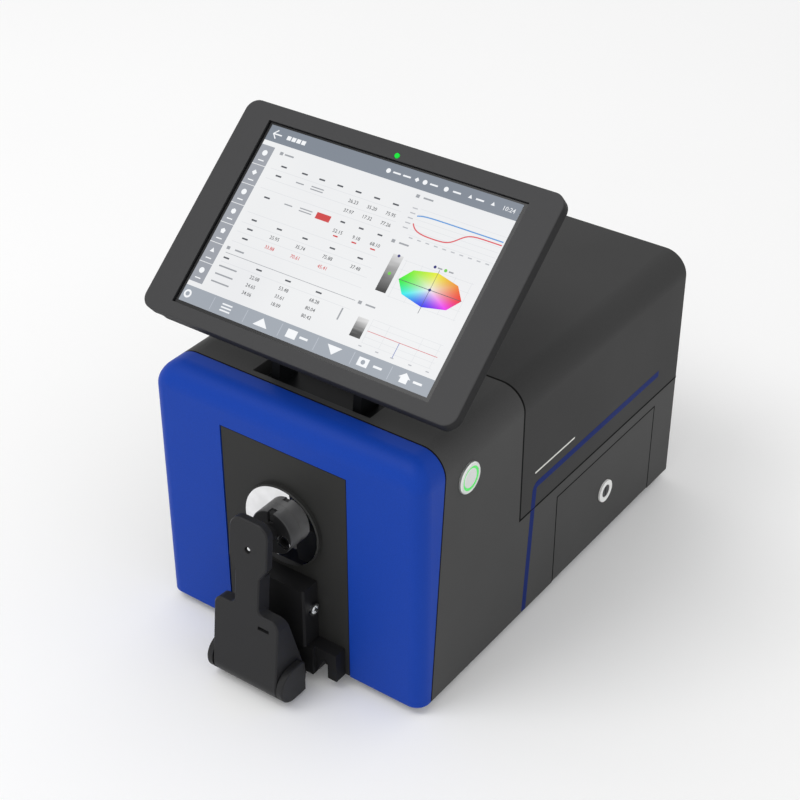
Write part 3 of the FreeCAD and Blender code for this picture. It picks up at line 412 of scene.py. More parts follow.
dress(metal("black_anodised", (60, 61, 63), 0.4, 0.15, 0.4, 0.01), "calibration_tile")
print("nodes so far:", len(dressed))

# %% [markdown]
# Three finishes are left: lit lenses that glow green, the green varnish of circuit boards with paler
# copper lines under it, and clear glass. A lens that glows evenly looks like paint, so its strength
# falls off in soft patches as it does over real diodes.


# %% Lit lenses, boards and glass
def lit(name, colour):
    """A lens lit from behind: broad noise moves its colour and its strength a little."""
    unlit = tone(colour, 0.3)
    material, shader = start_finish(name, Base_Color=unlit, Roughness=0.3, Specular_IOR_Level=0.08)
    patches = pattern(shader, "Noise", 160.0, Detail=1.0)
    drive(shader, "Emission Color", ramp(patches, tone(colour), tone(colour, 0.92, 14), 0.35, 0.75))
    drive(shader, "Emission Strength", spread(patches, 0.9, 1.0))
    return material


def varnished_board(name):
    """Circuit board: square cells stand for copper areas, darker varnish lies between them."""
    material, shader = start_finish(name, Roughness=0.35)
    copper = pattern(shader, "Voronoi", 260.0)
    copper.distance = "CHEBYCHEV"
    drive(shader, "Base Color", ramp(copper, tone((24, 96, 58)), tone((10, 58, 34)), 0.25, 0.35))
    raise_by(copper, shader, 0.5, 0.05)
    return material


def clear_glass(name, colour):
    """Clear glass with faint waviness in its polish."""
    material, shader = start_finish(name, IOR=1.5, Transmission_Weight=1.0)
    waves = pattern(shader, "Noise", 60.0, Detail=1.0)
    drive(shader, "Base Color", ramp(waves, tone(colour, 0.96), tone(colour)))
    drive(shader, "Roughness", spread(waves, 0.01, 0.04))
    return material


lens_glass = clear_glass("lens_glass", (232, 240, 245))
dress(lens_glass, "entrance_lens")
dress(lit("status_green", (14, 226, 58)), "status_light")
dress(lit("ring_green", (92, 228, 108)), "switch_light")
dress(varnished_board("board_varnish"), "main_board", "display_board")
dress(moulded("screen_black", (16, 16, 18), 0.3, 0.002, 0.2, 0.3), "display_panel")
bare = sorted(set(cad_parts) - set(dressed))
print("nodes dressed:", len(dressed), "left bare:", bare)

# %% [markdown]
# The fine pieces are surfaces worked out with numpy. Most are grids of points like the floor, so their
# faces follow from the numbering alone: every point joins its neighbours to the right and above. One
# function turns such skins into an object, merges points that fall together, and turns faces outwards.


# %% From grids of points to pieces
def unit(vectors):
    """Vectors scaled to the length of one."""
    return vectors / np.linalg.norm(vectors, axis=-1, keepdims=True)


def rod(edges):
    """A bar with four long edges, each given as a row of places, and closed at both ends."""
    points = np.stack(edges, axis=1).reshape(-1, 3)
    first, last = list(range(4)), list(range(len(points) - 4, len(points)))
    return points, grid_faces(len(edges[0]), 4) + [first, last]


def make_piece(name, skins, finish, body, ink=None, crease=40):
    """One object from skins of points and faces; it rides a body and keeps its place in its mesh."""
    starts = np.cumsum([0] + [len(points) for points, faces in skins])
    faces = [[corner + start for corner in face]
             for start, skin in zip(starts.tolist(), skins) for face in skin[1]]
    mesh = bpy.data.meshes.new(name)
    mesh.from_pydata(np.concatenate([points for points, _ in skins]).tolist(), [], faces)
    if ink is not None:
        layer = mesh.attributes.new("ink", "FLOAT_COLOR", "POINT")
        layer.data.foreach_set("color", ink.ravel())
    work = bmesh.new()
    work.from_mesh(mesh)
    bmesh.ops.remove_doubles(work, verts=work.verts, dist=0.0001 * mm)
    bmesh.ops.recalc_face_normals(work, faces=work.faces)
    work.to_mesh(mesh)
    work.free()
    mesh.shade_smooth()
    mesh.set_sharp_from_angle(angle=math.radians(crease))
    mesh.materials.append(finish)
    piece = show(name, mesh)
    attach(piece, body)
    print(name, "has", len(mesh.polygons), "faces")
    return piece


# %% [markdown]
# What the display shows is built as thin tiles on the black panel, each a few hundredths of a millimetre
# higher than the one under it, like layers of print. A painted image would be quicker, but tiles stay
# sharp at any distance. Their colour is an attribute of their points, named ink; the finish glows with it.

# %% Places on the screen, and ink that glows
page_shift = np.array([-0.3, 0.5])
page_half = np.array([215.1, 145.2]) / 2
ink_root = -0.05
page_top = 0.10
field_top = 0.15
mark_top = 0.20
over_top = 0.23
dot_top = 0.26

screen_axes = np.stack([screen_right, screen_up, screen_out])
panel_spans = panel_places @ screen_axes.T
span_low, span_high = panel_spans.min(axis=0), panel_spans.max(axis=0)
screen_middle = np.array([*(span_low + span_high)[:2] / 2, span_high[2]]) @ screen_axes


def on_screen(flat, lift):
    """Places from mm across and up the page, and mm of lift off the panel's face."""
    flat = (flat + page_shift) * mm
    return screen_middle + flat[..., :1] * screen_right + flat[..., 1:] * screen_up + lift * mm * screen_out


def glowing_ink(name):
    """Light that takes its colour from the ink attribute; broad noise dims it, as in a backlight."""
    material, shader = start_finish(name, Base_Color=(0.0, 0.0, 0.0, 1.0), Roughness=0.25,
                                    Specular_IOR_Level=0.15, Emission_Strength=1.0)
    ink = add(shader, "Attribute", attribute_name="ink")
    patches = pattern(shader, "Noise", 12.0, Detail=1.0)
    dimming = ramp(patches, (0.95, 0.95, 0.96, 1.0), (1.0, 1.0, 1.0, 1.0), 0.3, 0.7)
    glow = add(shader, "Mix", data_type="RGBA", blend_type="MULTIPLY")
    glow.inputs[0].default_value = 1.0
    link(ink.outputs["Color"], glow.inputs[6])
    link(dimming.outputs[0], glow.inputs[7])
    link(glow.outputs[2], shader.inputs["Emission Color"])
    return material


screen_ink = glowing_ink("screen_ink")


def screen_piece(name, *inked):
    """Skins and their screen colours, as one glowing piece on the display."""
    ink = [np.tile(tone(colour), (len(skin[0]), 1)) for skin, colour in inked]
    return make_piece(name, [skin for skin, colour in inked], screen_ink, "display",
                      np.concatenate(ink), crease=20)


print("the page is", (2 * page_half).round(1).tolist(), "mm")

# %% [markdown]
# The page itself: a white sheet, a slate bar along the top, a grey bar along the bottom and a column of
# keys at the left. A tile is a flat box, given by its middle, width and height. Places on the page are
# written as on a drawing board: mm from its left edge, and mm down from its top.


# %% Page and bars
box_rim = np.array([[-1, -1], [1, -1], [1, 1], [-1, 1]])
box_sides = np.array([[0, 3, 2, 1], [4, 5, 6, 7], [0, 1, 5, 4], [1, 2, 6, 5], [2, 3, 7, 6], [3, 0, 4, 7]])


def at(across, down):
    """Places from mm right of the page's left edge and mm below its top edge, one row for each pair."""
    across, down = np.broadcast_arrays(across, down)
    return np.stack([across - page_half[0], page_half[1] - down], axis=-1).reshape(-1, 2)


def tiles(colour, top, *rows):
    """Flat boxes in one colour: each row gives places across and down, and one width and height for all."""
    rim = np.concatenate([at(across, down)[:, None] + box_rim * [width / 2, height / 2]
                          for across, down, width, height in rows])
    points = np.concatenate([on_screen(rim, ink_root), on_screen(rim, top)], axis=1)
    faces = 8 * np.arange(len(rim))[:, None, None] + box_sides
    return (points.reshape(-1, 3), faces.reshape(-1, 4).tolist()), colour


page_white = (238, 239, 240)
bar_slate = (129, 137, 148)
bar_grey = (162, 169, 178)
key_grey = (158, 162, 170)
page_wide, page_high = 2 * page_half
page_middle = page_wide / 2
header = 12.4
footer = 12.6
column = 12.0
key_count = 7
key_step = 16.2
key_gap = 0.5
key_downs = page_high / 2 + key_step * (np.arange(key_count) - (key_count - 1) / 2)
head_down = header / 2
foot_down = page_high - footer / 2
screen_piece(
    "screen_page",
    tiles(page_white, page_top, (page_middle, page_high / 2, page_wide, page_high)),
    tiles(bar_slate, field_top, (page_middle, head_down, page_wide, header)),
    tiles(bar_grey, field_top, (page_middle, foot_down, page_wide, footer)),
    tiles(key_grey, field_top, (column / 2, key_downs, column, key_step - key_gap)))

# %% [markdown]
# Icons are plain shapes: regular polygons with few or many sides, arrows, a house and strokes. An
# outline is raised like a plaque, with a lid, a floor and a wall round it. A stroke is a flat profile
# carried along a line.


# %% Icons
def plaques(colour, top, outlines):
    """Flat outlines raised to top, in one colour: each has a floor, a lid, and a wall of four-sided faces."""
    skins = []
    for outline in outlines:
        count = len(outline)
        points = np.concatenate([on_screen(outline, ink_root), on_screen(outline, top)])
        ends = [list(range(count)), list(range(count, 2 * count))]
        skins.append(((points, grid_faces(2, count) + ends), colour))
    return skins


def polygons(across, down, radius, sides):
    """Outlines of regular polygons at places on the page: equal steps round a circle, from its top."""
    spots = at(across, down)
    turns = [2 * np.pi * (np.arange(count) / count + 0.25) for count in np.broadcast_to(sides, len(spots))]
    return [spot + radius * np.stack([np.cos(turn), np.sin(turn)], axis=1)
            for spot, turn in zip(spots, turns)]


def stroke(line, width, top, place=on_screen, root=ink_root):
    """A flat profile along a line: half the width to either side, square to the run of the line."""
    run = unit(np.gradient(line, axis=0))
    aside = width / 2 * np.stack([-run[:, 1], run[:, 0]], axis=1)
    one, other = line - aside, line + aside
    return rod([place(one, root), place(other, root), place(other, top), place(one, top)])


icon_white = (246, 248, 250)
many = 24
upward = np.array([[-6.2, -3.2], [6.2, -3.2], [0, 3.2]])
house = np.array([[-3.0, -3.4], [3.0, -3.4], [3.0, 0.2], [4.8, 0.2], [0, 4.0], [-4.8, 0.2], [-3.0, 0.2]])
key_icons = polygons(column / 2, key_downs - 1.8, 2.2, [many, 4, many, 6, 5, 3, many])
foot_icons = [*polygons(4.8, foot_down, 3.2, many), upward + at(72.6, foot_down),
              at(134.9, foot_down) - upward, house + at(193.8, foot_down)]
head_icons = polygons([107.3, 131.5, 138.2, 155.8, 175.5, 193.8], head_down, 1.8, [many, 4, many, many, 3, 3])
arrow = np.array([[3.4, 3.4], [0, 0], [3.4, -3.4]]) + at(4.6, head_down)
screen_piece(
    "screen_icons",
    *plaques(icon_white, mark_top, key_icons + foot_icons + head_icons),
    *plaques(bar_grey, over_top, polygons([4.8, 160.0], foot_down, 1.7, many)),
    tiles(icon_white, mark_top,
          (column / 2, key_downs + 4.4, 5.0, 0.8),
          (40.4, foot_down + np.array([-2.4, 0, 2.4]), 9.0, 1.1),
          ([99.0, 160.0], foot_down, 8.4, 6.2),
          ([109.5, 172.0, 204.5], foot_down, 7.0, 1.6),
          (8.6, head_down, 7.2, 1.0),
          (19.0 + 4.4 * np.arange(4), head_down, 3.5, 3.2),
          ([114.5, 123.0, 145.6, 164.6, 183.3], head_down, 6.4, 1.2)),
    (stroke(arrow, 1.0, mark_top), icon_white),
    tiles((188, 194, 203), mark_top,
          ([27.8, 57.8, 88.9, 120.0, 151.0, 182.0], foot_down, 0.5, footer - 3)))

# %% [markdown]
# A measuring page is mostly numbers. Blender's text object draws them with its built-in font. It is
# made a mesh first, and its points are then laid on the screen like those of any other tile. The
# readings come from gentle waves, so they belong to no real sample, and words are left as plain dashes.


# %% Tables of readings
def written(text, spot, size):
    """Numbers as a skin: a text curve of a little thickness, made a mesh and laid on the screen."""
    curve = bpy.data.curves.new("numbers", "FONT")
    curve.body = text
    curve.size = size
    curve.align_x = "CENTER"
    curve.extrude = (mark_top - ink_root) / 2
    curve.resolution_u = 2
    holder = bpy.data.objects.new("numbers", curve)
    mesh = bpy.data.meshes.new_from_object(holder)
    flat = points_of(mesh)
    points = on_screen(flat[:, :2] + spot, flat[:, 2:] + (mark_top + ink_root) / 2)
    faces = [list(face.vertices) for face in mesh.polygons]
    bpy.data.objects.remove(holder)
    bpy.data.curves.remove(curve)
    bpy.data.meshes.remove(mesh)
    return points, faces


reading_grey = (62, 65, 70)
reading_red = (210, 58, 62)
word_grey = (88, 91, 97)
pale_grey = (160, 163, 168)
rule_grey = (221, 223, 226)
number_size = 3.8
table_middle = 74.5
table_wide = 115.0
columns = (93.5, 109.5, 125.5)
title_downs = [18.8, 97.3, 17.1, 52.7, 101.2]
blocks = [(columns, (35.6, 43.3, 59.6), reading_grey),
          ((49, 72, 96, 120), (79.6,), reading_grey),
          ((49, 72, 96), (87.3,), reading_red),
          ((50, 76, 103), (111.6, 117.8, 123.8), reading_grey)]
readings = []
for across, downs, ink in blocks:
    for number, spot in enumerate(at(*np.meshgrid(across, downs))):
        value = 46 + 31 * math.sin(1.9 * number + downs[0]) + 7 * math.cos(2.3 * number)
        readings.append((written(f"{value:.2f}", spot - [0, 1.3], number_size), ink))
clock = (written("10:24", at(206.5, head_down)[0] - [0, 1.6], 4.6), icon_white)
screen_piece(
    "screen_readings", *readings, clock,
    tiles(word_grey, mark_top,
          ([27, 46, 61.5, 77.5, *columns], 27.8, 5.0, 1.2),
          (columns, 52.0, 4.0, 1.2),
          ([26, 49, 72, 96, 120], 72.2, 4.6, 1.2),
          (26.5, [35.6, 53.4, 79.6, 87.3], 5.0, 1.2),
          ([20, 50, 76, 103], 104.9, 5.0, 1.2)),
    tiles(pale_grey, mark_top,
          (46, [35.6, 53.4], 7.0, 0.9),
          (61.5, [34.7, 36.7, 52.4, 54.4], 11.0, 0.8),
          (25.5, [111.6, 117.8, 123.8], 16.0, 1.1),
          (126.2, 113.5, 1.2, 9.0),
          ([19.5, 17.4, 138.2, 137.2, 136.2], title_downs, 2.8, 2.4),
          ([26.5, 27.5, 147.0, 146.0, 145.0], title_downs, 8.0, 1.2)),
    tiles(rule_grey, field_top,
          (table_middle, [31.5, 39.5, 47.5, 67.5, 76.0, 83.5, 91.5, 108.2], table_wide, 0.3)),
    tiles(pale_grey, field_top, (table_middle, 101.1, table_wide, 0.4)),
    tiles(reading_red, mark_top, (columns, 63.3, 4.0, 1.0)))

# %% [markdown]
# At the right a plane of hues lies between two charts. It is an eight-sided polar grid: the angle gives
# the hue, and the distance from the middle gives its strength, from white to full. Grey scales beside
# it show how light a sample is.


# %% Hue plane and grey scales
def hue_colour(turn_share, strength):
    """Screen colour of a hue: three tents for red, green and blue, a third of a turn apart, and white."""
    tent = np.abs((turn_share[..., None] * 6 + np.array([0, 4, 2])) % 6 - 3) - 1
    return 1 - strength[..., None] * (1 - np.clip(tent, 0, 1))


def grey_scale(across, down, width, height, steps):
    """Tiles stacked downwards between two places, from a pale tone to a dark one."""
    levels = down + height * (np.arange(steps) + 0.5) / steps
    return [tiles((grey, grey, grey), field_top, (across, level, width, height / steps))
            for level, grey in zip(levels, np.linspace(222, 60, steps))]


disc_spot = (180.4, 76.7)
disc_half = np.array([25.5, 13.0])
disc_rings = 12
disc_spokes = 72
share = np.concatenate([np.linspace(0, 1, disc_rings), [1.0, 0.0]])
height = np.array([mark_top] * disc_rings + [ink_root] * 2)
turn_share = np.arange(disc_spokes) / disc_spokes
eighths = np.arange(9) / 8
ray = np.stack([np.interp(turn_share, eighths, np.cos(2 * np.pi * eighths)),
                np.interp(turn_share, eighths, np.sin(2 * np.pi * eighths))], axis=-1)
disc_points = on_screen(at(*disc_spot)[0] + share[:, None, None] * disc_half * ray, height[:, None, None])
hue_share = np.interp(turn_share, [0, 0.25, 0.5, 0.75, 1], [0, 1 / 6, 1 / 3, 2 / 3, 1])
disc_hue = hue_colour(*np.broadcast_arrays(hue_share, share[:, None]))
disc_ink = np.concatenate([as_light(0.14 + 0.79 * disc_hue), np.ones((*disc_hue.shape[:2], 1))], axis=-1)
disc_skin = (disc_points.reshape(-1, 3), grid_faces(len(share), disc_spokes))
make_piece("screen_disc", [disc_skin], screen_ink, "display", disc_ink.reshape(-1, 4), crease=20)

dark_dots = polygons([146.8, 176.0, 180.4], [61.5, 60.4, 76.7], 1.1, 16)
green_dots = polygons([146.4, 184.6], [75.2, 60.4], 1.2, 16)
screen_piece(
    "screen_colours",
    *grey_scale(146.4, 61.0, 8.5, 28.3, 14), *grey_scale(144.8, 110.4, 8.9, 14.6, 10),
    *plaques((44, 46, 120), dot_top, dark_dots), *plaques((110, 204, 70), dot_top, green_dots),
    tiles((208, 70, 70), mark_top, (77.0, 53.4, 12.2, 4.9)),
    tiles((84, 86, 100), over_top,
          (*disc_spot, 51.0, 0.4), (disc_spot[0], 78.0, 0.3, 33.0)),
    tiles(rule_grey, field_top,
          (disc_spot[0], [63.0, 69.8, 83.6, 90.4], 56.0, 0.25),
          ([154.0, 167.0, 194.0, 207.0], disc_spot[1], 0.25, 29.0)),
    tiles(pale_grey, mark_top, ([180.0, 189.0], 60.4, 3.6, 1.0)))

# %% [markdown]
# A chart is a few pale rules and strokes over them. The blue curve levels off, which is an exponential;
# the red one dips and then steps up, which is a logistic curve.

# %% Charts
chart_left = 145.0
chart_wide = 69.0
curve_width = 0.9
share = np.linspace(0, 1, 81)
level_off = 29.1 + 1.7 * np.exp(-share / 0.07)
step_up = 42.8 - 11.2 / (1 + np.exp(-(share - 0.54) / 0.045)) - 6.2 * np.exp(-share / 0.06)
blue_curve = at(chart_left + chart_wide * share, level_off)
red_curve = at(chart_left + chart_wide * share, step_up)
screen_piece(
    "screen_chart",
    (stroke(blue_curve, curve_width, mark_top), (96, 156, 218)),
    (stroke(red_curve, curve_width, over_top), (222, 92, 100)),
    tiles((216, 130, 134), mark_top, (180.4, 117.8, 57.0, 0.45)),
    tiles((138, 148, 196), mark_top, (178.4, 123.4, 0.5, 11.2)),
    tiles(rule_grey, field_top,
          (chart_left + chart_wide / 2, np.linspace(25.2, 45.2, 6), chart_wide, 0.25),
          (180.4, [109.0, 113.4, 122.2, 126.6], 57.0, 0.25),
          ([152.0, 166.0, 193.0, 207.0], 117.8, 0.25, 18.0)),
    tiles((186, 188, 193), mark_top,
          (140.8, np.linspace(26.0, 41.2, 5), 4.2, 0.8),
          (chart_left + chart_wide * (np.arange(10) + 0.5) / 10, 46.9, 3.0, 0.8),
          ([152.0, 166.0, 178.4, 193.0, 207.0], 129.2, 2.6, 0.8)))

# %% [markdown]
# Where two mouldings meet, the gap lies in shade. Black strips laid in the seams paint that shade, so the
# seams read as thin dark lines. A strip is a bar bent to the casing's section: up one side, round two
# corners and down the other side. It has a stem deep in the gap and a cap that laps a little over both
# edges, which paints a shadow line along them.


# %% Painted shade strips for the casing's seams
def bent_shade_strip(front_at, low, room, depths):
    """A bar bent round the casing between two depths below its skin, with room to both edges of the seam."""
    corner = np.linspace(0, np.pi / 2, 17)
    bend = np.concatenate([corner, corner + np.pi / 2])
    middle = np.repeat([1, -1], len(corner)) * (casing_half - casing_corner)
    radius = casing_corner - np.array(depths)[:, None]
    x = np.pad(middle + radius * np.cos(bend), ((0, 0), (1, 1)), mode="edge")
    z = np.pad(casing_top - casing_corner + radius * np.sin(bend), ((0, 0), (1, 1)), constant_values=low)
    front = np.stack([x, front_at(z) + room, z], axis=-1)
    rear = np.stack([x, front_at(z) + seam - room, z], axis=-1)
    return rod([front[0], rear[0], rear[1], front[1]])


def solid_bar(low, high):
    """A plain box between two corners: its eight corners are all choices of low or high on each axis."""
    pick = np.array([[*corner, level] for level in (-1, 1) for corner in box_rim])
    return np.where(pick > 0, high, low), box_sides.tolist()


def seam_shade_strips(front_at, low, lap):
    """Stem and cap of a bent painted shade strip in a seam that starts at front_at; the cap laps over both
    edges.
    """
    return [bent_shade_strip(front_at, low, stem_room, stem_depths), bent_shade_strip(front_at, low, -lap, cap_depths)]


def side_shade_strips(low, high, lap):
    """Stem and cap of a straight painted shade strip on the right-hand side, from low to high in y and z."""
    low, high = np.array(low), np.array(high)
    return [solid_bar((casing_half - deep, *(low + room)), (casing_half - shallow, *(high - room)))
            for (shallow, deep), room in ((stem_depths, stem_room), (cap_depths, -lap))]


housing_low, housing_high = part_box("main_housing")
casing_half, casing_low, casing_top = housing_high.x, housing_low.z, housing_high.z
casing_corner = 20 * mm
stem_depths = (0.1 * mm, 2.4 * mm)
cap_depths = (-0.03 * mm, 0.12 * mm)
stem_room = 0.04 * mm
cap_lap = 0.2 * mm
wide_lap = 0.45 * mm
lid_low, lid_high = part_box("rear_lid")
rim_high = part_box("lid_bumpers")[0].z
seam = lid_low.z - rim_high
# Black for the seam strips: painted shade in the gaps between mouldings.
seam_shade_black = soft_black("seam_painted_shade", (10, 10, 10), 0.5, 0.0)
print("the lid's seam is", round(seam / mm, 2), "mm wide")

# %% [markdown]
# One bent strip of painted shade stands before the lid and one behind the blue front, whose edge leans.
# Straight strips of painted shade run along the lid's lower rim on both sides and round the drawer's front.

# %% Painted shade in the seams at the lid, the front and the drawer
lid_start = lid_low.y - seam
right_seam_shade = side_shade_strips((lid_start, rim_high), (lid_high.y, lid_low.z), wide_lap)
left_seam_shade = [(points * [-1, 1, 1], faces) for points, faces in right_seam_shade]
lid_seam_shade = seam_shade_strips(lambda z: 0 * z + lid_start, rim_high, wide_lap)
make_piece("lid_seam_shade", [*lid_seam_shade, *right_seam_shade, *left_seam_shade], seam_shade_black, "instrument")

panel_edge = corners_of("front_panel")
panel_high = panel_edge[:, 1].max()
panel_foot = panel_edge[panel_edge[:, 2] < casing_low + 0.01 * mm, 1].max()
panel_lean = (panel_high - panel_foot) / (casing_top - casing_low)
front_seam_shade = seam_shade_strips(lambda z: panel_high - panel_lean * (casing_top - z), casing_low + 0.3 * mm, cap_lap)
make_piece("front_seam_shade", front_seam_shade, seam_shade_black, "instrument")

door_low, door_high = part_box("drawer_front")
door_gap = 0.9 * mm
gap_top = door_high.z + door_gap
door_runs = [((door_low.y - door_gap, door_low.z), (door_low.y, gap_top)),
             ((door_high.y, door_low.z), (door_high.y + door_gap, gap_top)),
             ((door_low.y, door_high.z), (door_high.y, gap_top))]
door_seam_shade = [shade_strip for low, high in door_runs for shade_strip in side_shade_strips(low, high, cap_lap)]
make_piece("door_seam_shade", door_seam_shade, seam_shade_black, "instrument")
print("the blue front's edge leans by", round(panel_lean, 4), "mm per mm of height")

# %% [markdown]
# A blue line climbs the right-hand side and runs back along the lid, with a short white one above it.
# On the real casing such trim is printed or a foil; here it is a stroke a few hundredths of a millimetre
# proud of the plastic. It is cut at the lid's seam: the lower part stays, and the upper one lifts.


# %% Side trim
def on_side(flat, lift):
    """Places on the right-hand side: mm back from the front and mm up from the foot, and lift outwards."""
    outwards = np.full(flat.shape[:-1] + (1,), casing_half / mm + lift)
    return np.concatenate([outwards, flat + side_corner], axis=-1) * mm


def on_leg(height):
    """The place on the leaning leg of the line at one height."""
    lean = (knee_back - foot_back) / (line_level - knee_radius)
    return [foot_back + lean * height, height]


side_corner = np.array([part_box("front_panel")[0].y, casing_low]) / mm
foot_rise = 0.6
foot_back = 137.0
knee_back = 144.6
knee_radius = 4.5
line_level = 115.0
line_end = 333.0
line_width = 5.6
white_width = 1.5
trim_lift = 0.06
trim_root = -0.1

lower_leg = np.array([on_leg(foot_rise), on_leg((rim_high - casing_low) / mm)])
bend = np.linspace(np.pi, np.pi / 2, 13)
knee = np.stack([knee_back + knee_radius * (1 + np.cos(bend)),
                 line_level - knee_radius * (1 - np.sin(bend))], axis=1)
upper_line = np.concatenate([[on_leg((lid_low.z - casing_low) / mm)], knee, [[line_end, line_level]]])
white_line = np.array([[144.5, 127.0], [200.5, 127.0]])
trim_blue = moulded("trim_blue", (14, 36, 104), 0.3, 0.005, 0.5, 0.06)
trim_white = moulded("trim_white", (228, 228, 222), 0.3, 0.005, 0.4)
for name, line, width, finish, body, slot in (
        ("trim_leg", lower_leg, line_width, trim_blue, "instrument", "blue"),
        ("trim_line", upper_line, line_width, trim_blue, "lid", "blue"),
        ("trim_white_line", white_line, white_width, trim_white, "lid", "tile_white")):
    make_piece(name, [stroke(line, width, trim_lift, on_side, trim_root)], finish, body)

# %% [markdown]
# Two springs do the work in the sample holder: a torsion spring round the arm's pivot and a compression
# spring behind the pad. The CAD frame has plain sleeves for them, so both are wound here. A wire is a
# circle carried along a path, and the path is a helix: it turns round an axis while it moves along it.


# %% Springs
def wire(path, axis, radius, sides=12):
    """A round wire: circles square to the path, spanned by the axis and its cross with the run."""
    run = unit(np.gradient(path, axis=0))
    flat = unit(axis - (run @ axis)[:, None] * run)
    third = np.cross(run, flat)
    angle = 2 * np.pi * np.arange(sides)[:, None] / sides
    skin = path[:, None] + radius * (np.cos(angle) * flat[:, None] + np.sin(angle) * third[:, None])
    tips = np.repeat(path[[0, -1], None], sides, axis=1)
    rows = np.concatenate([tips[:1], skin, tips[1:]])
    return rows.reshape(-1, 3), grid_faces(len(rows), sides)


def wound(turns, steps=24):
    """Angles along a helix of whole turns."""
    return np.linspace(0, 2 * np.pi * turns, steps * turns + 1)


spring_steel = metal("spring_steel", (150, 152, 156), 0.22, 0.12, 0.5, 0.002)
sleeve_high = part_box("arm_spring")[1]
pivot = sum(box_of("arm_pivot_pin")) / 2
arm_wire = 0.8 * mm
coil_radius = sleeve_high.z - arm_wire - pivot[2]
coil_half = sleeve_high.x - arm_wire
angle = wound(7)
coil = np.stack([np.linspace(-coil_half, coil_half, len(angle)), pivot[1] - coil_radius * np.sin(angle),
                 pivot[2] + coil_radius * np.cos(angle)], axis=1)
leg_run = np.linspace(sleeve_high.y - arm_wire, pivot[1] + 0.5 * mm, 12)
leg = np.stack(np.broadcast_arrays(-coil_half, leg_run, pivot[2] + coil_radius), axis=1)
arm_skin = wire(np.concatenate([leg, coil]), np.array([1.0, 0, 0]), arm_wire)
arm_coil = make_piece("arm_coil", [arm_skin], spring_steel, "instrument")
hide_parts("arm_spring")

sleeve_low, sleeve_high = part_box("pad_spring")
pad_wire = 0.6 * mm
coil_radius = (sleeve_high.x - sleeve_low.x) / 2 - pad_wire
coil_run = sleeve_high.y - sleeve_low.y - 2 * pad_wire
angle = wound(6)
share = angle / angle[-1]
middle = (sleeve_low + sleeve_high) / 2
end_ease = 0.12
coil = np.stack([middle.x + coil_radius * np.cos(angle),
                 sleeve_low.y + pad_wire + coil_run * (share - end_ease * np.sin(2 * np.pi * share)),
                 middle.z + coil_radius * np.sin(angle)], axis=1)
pad_skin = wire(coil, np.array([0, 1.0, 0]), pad_wire)
pad_coil = make_piece("pad_coil", [pad_skin], spring_steel, "pad")
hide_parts("pad_spring")

# %% [markdown]
# Screws hold the base, the hinges, the rear plate and the display's back. Each head is a polar height
# field: a dome that falls off with the fourth power of the radius, and a cross pressed into its middle.
# A ray dropped onto the solid finds the seat and the direction in which the head has to look.


# %% Screws
def seat_on(node, start, heading):
    """Where a ray from start, in mm, meets a CAD node, and the way its face looks there."""
    found, place, facing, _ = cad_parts[node].ray_cast(Vector(start) * mm, Vector(heading))
    if not found:
        raise ValueError(f"no seat on {node} from {start}")
    return np.array(place), np.array(facing)


def ring(axis, beside, spokes):
    """Unit vectors square to an axis, in equal steps round it; beside fixes where they start."""
    first = unit(np.cross(axis, beside))
    angle = 2 * np.pi * np.arange(spokes)[:, None] / spokes
    return np.cos(angle) * first + np.sin(angle) * np.cross(axis, first)


def cross_screw(seat, facing, radius, height):
    """Pan head: a dome by the fourth power of the radius, less a cross; a skirt and foot close it."""
    share = np.concatenate([np.linspace(0, 1, 15), [1.0, 0.0]])[:, None]
    angle = 2 * np.pi * np.arange(40) / 40
    narrow = np.minimum(np.abs(share * np.cos(angle)), np.abs(share * np.sin(angle)))
    cross = np.clip((0.17 - narrow) / 0.06, 0, 1) * np.clip((0.62 - share) / 0.1, 0, 1)
    lift = height * (1 - 0.5 * share ** 4 - 0.6 * cross)
    lift[-2:] = -0.15 * mm
    flat = ring(facing, [0.36, 0.48, 0.8], len(angle))
    points = seat + radius * share[..., None] * flat + lift[..., None] * facing
    return points.reshape(-1, 3), grid_faces(*lift.shape)


def screws(name, body, node, starts, heading, radius, height):
    """One piece of several screws, each dropped onto a node along the same heading."""
    skins = [cross_screw(*seat_on(node, start, heading), radius * mm, height * mm) for start in starts]
    return make_piece(name, skins, ground_steel, body, crease=50)


def spots_at(*axes):
    """All combinations of places along x, y and z, in mm."""
    return np.stack(np.meshgrid(*axes, indexing="ij"), axis=-1).reshape(-1, 3)


def inset(node, axis, depth):
    """Two places along an axis, in mm: a depth inside either end of a CAD node's box."""
    low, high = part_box(node)
    return low[axis] / mm + depth, high[axis] / mm - depth


bpy.context.view_layer.update()
far_off = -40  # a negative inset lies outside the box
base_radius = 3.0
base_spots = spots_at(inset("base_screws", 0, base_radius), inset("base_screws", 1, base_radius),
                      inset("base_screws", 2, far_off)[0])
base_heads = screws("base_heads", "instrument", "base_plate", base_spots, (0, 0, 1), base_radius, 1.5)
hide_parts("base_screws")
behind = inset("lid_hinge_leaves", 1, far_off)[1]
for name, body, node, level in (("bracket_screws", "instrument", "lid_hinge_brackets", 86.0),
                                ("leaf_screws", "lid", "lid_hinge_leaves", 118.5)):
    screws(name, body, node, spots_at((-83, -67, 67, 83), behind, level), (0, -1, 0), 2.6, 1.3)
plate_spots = spots_at(inset("io_plate", 0, 4), behind, inset("io_plate", 2, 4))
screws("plate_screws", "instrument", "io_plate", plate_spots, (0, -1, 0), 1.9, 1.0)
box_backs = [inset("spectrometer_box", 1, depth)[1] for depth in (90, 9)]
box_spots = spots_at(inset("spectrometer_box", 0, 9), box_backs, inset("spectrometer_box", 2, far_off)[1])
screws("box_screws", "instrument", "spectrometer_box", box_spots, (0, 0, -1), 2.4, 1.3)
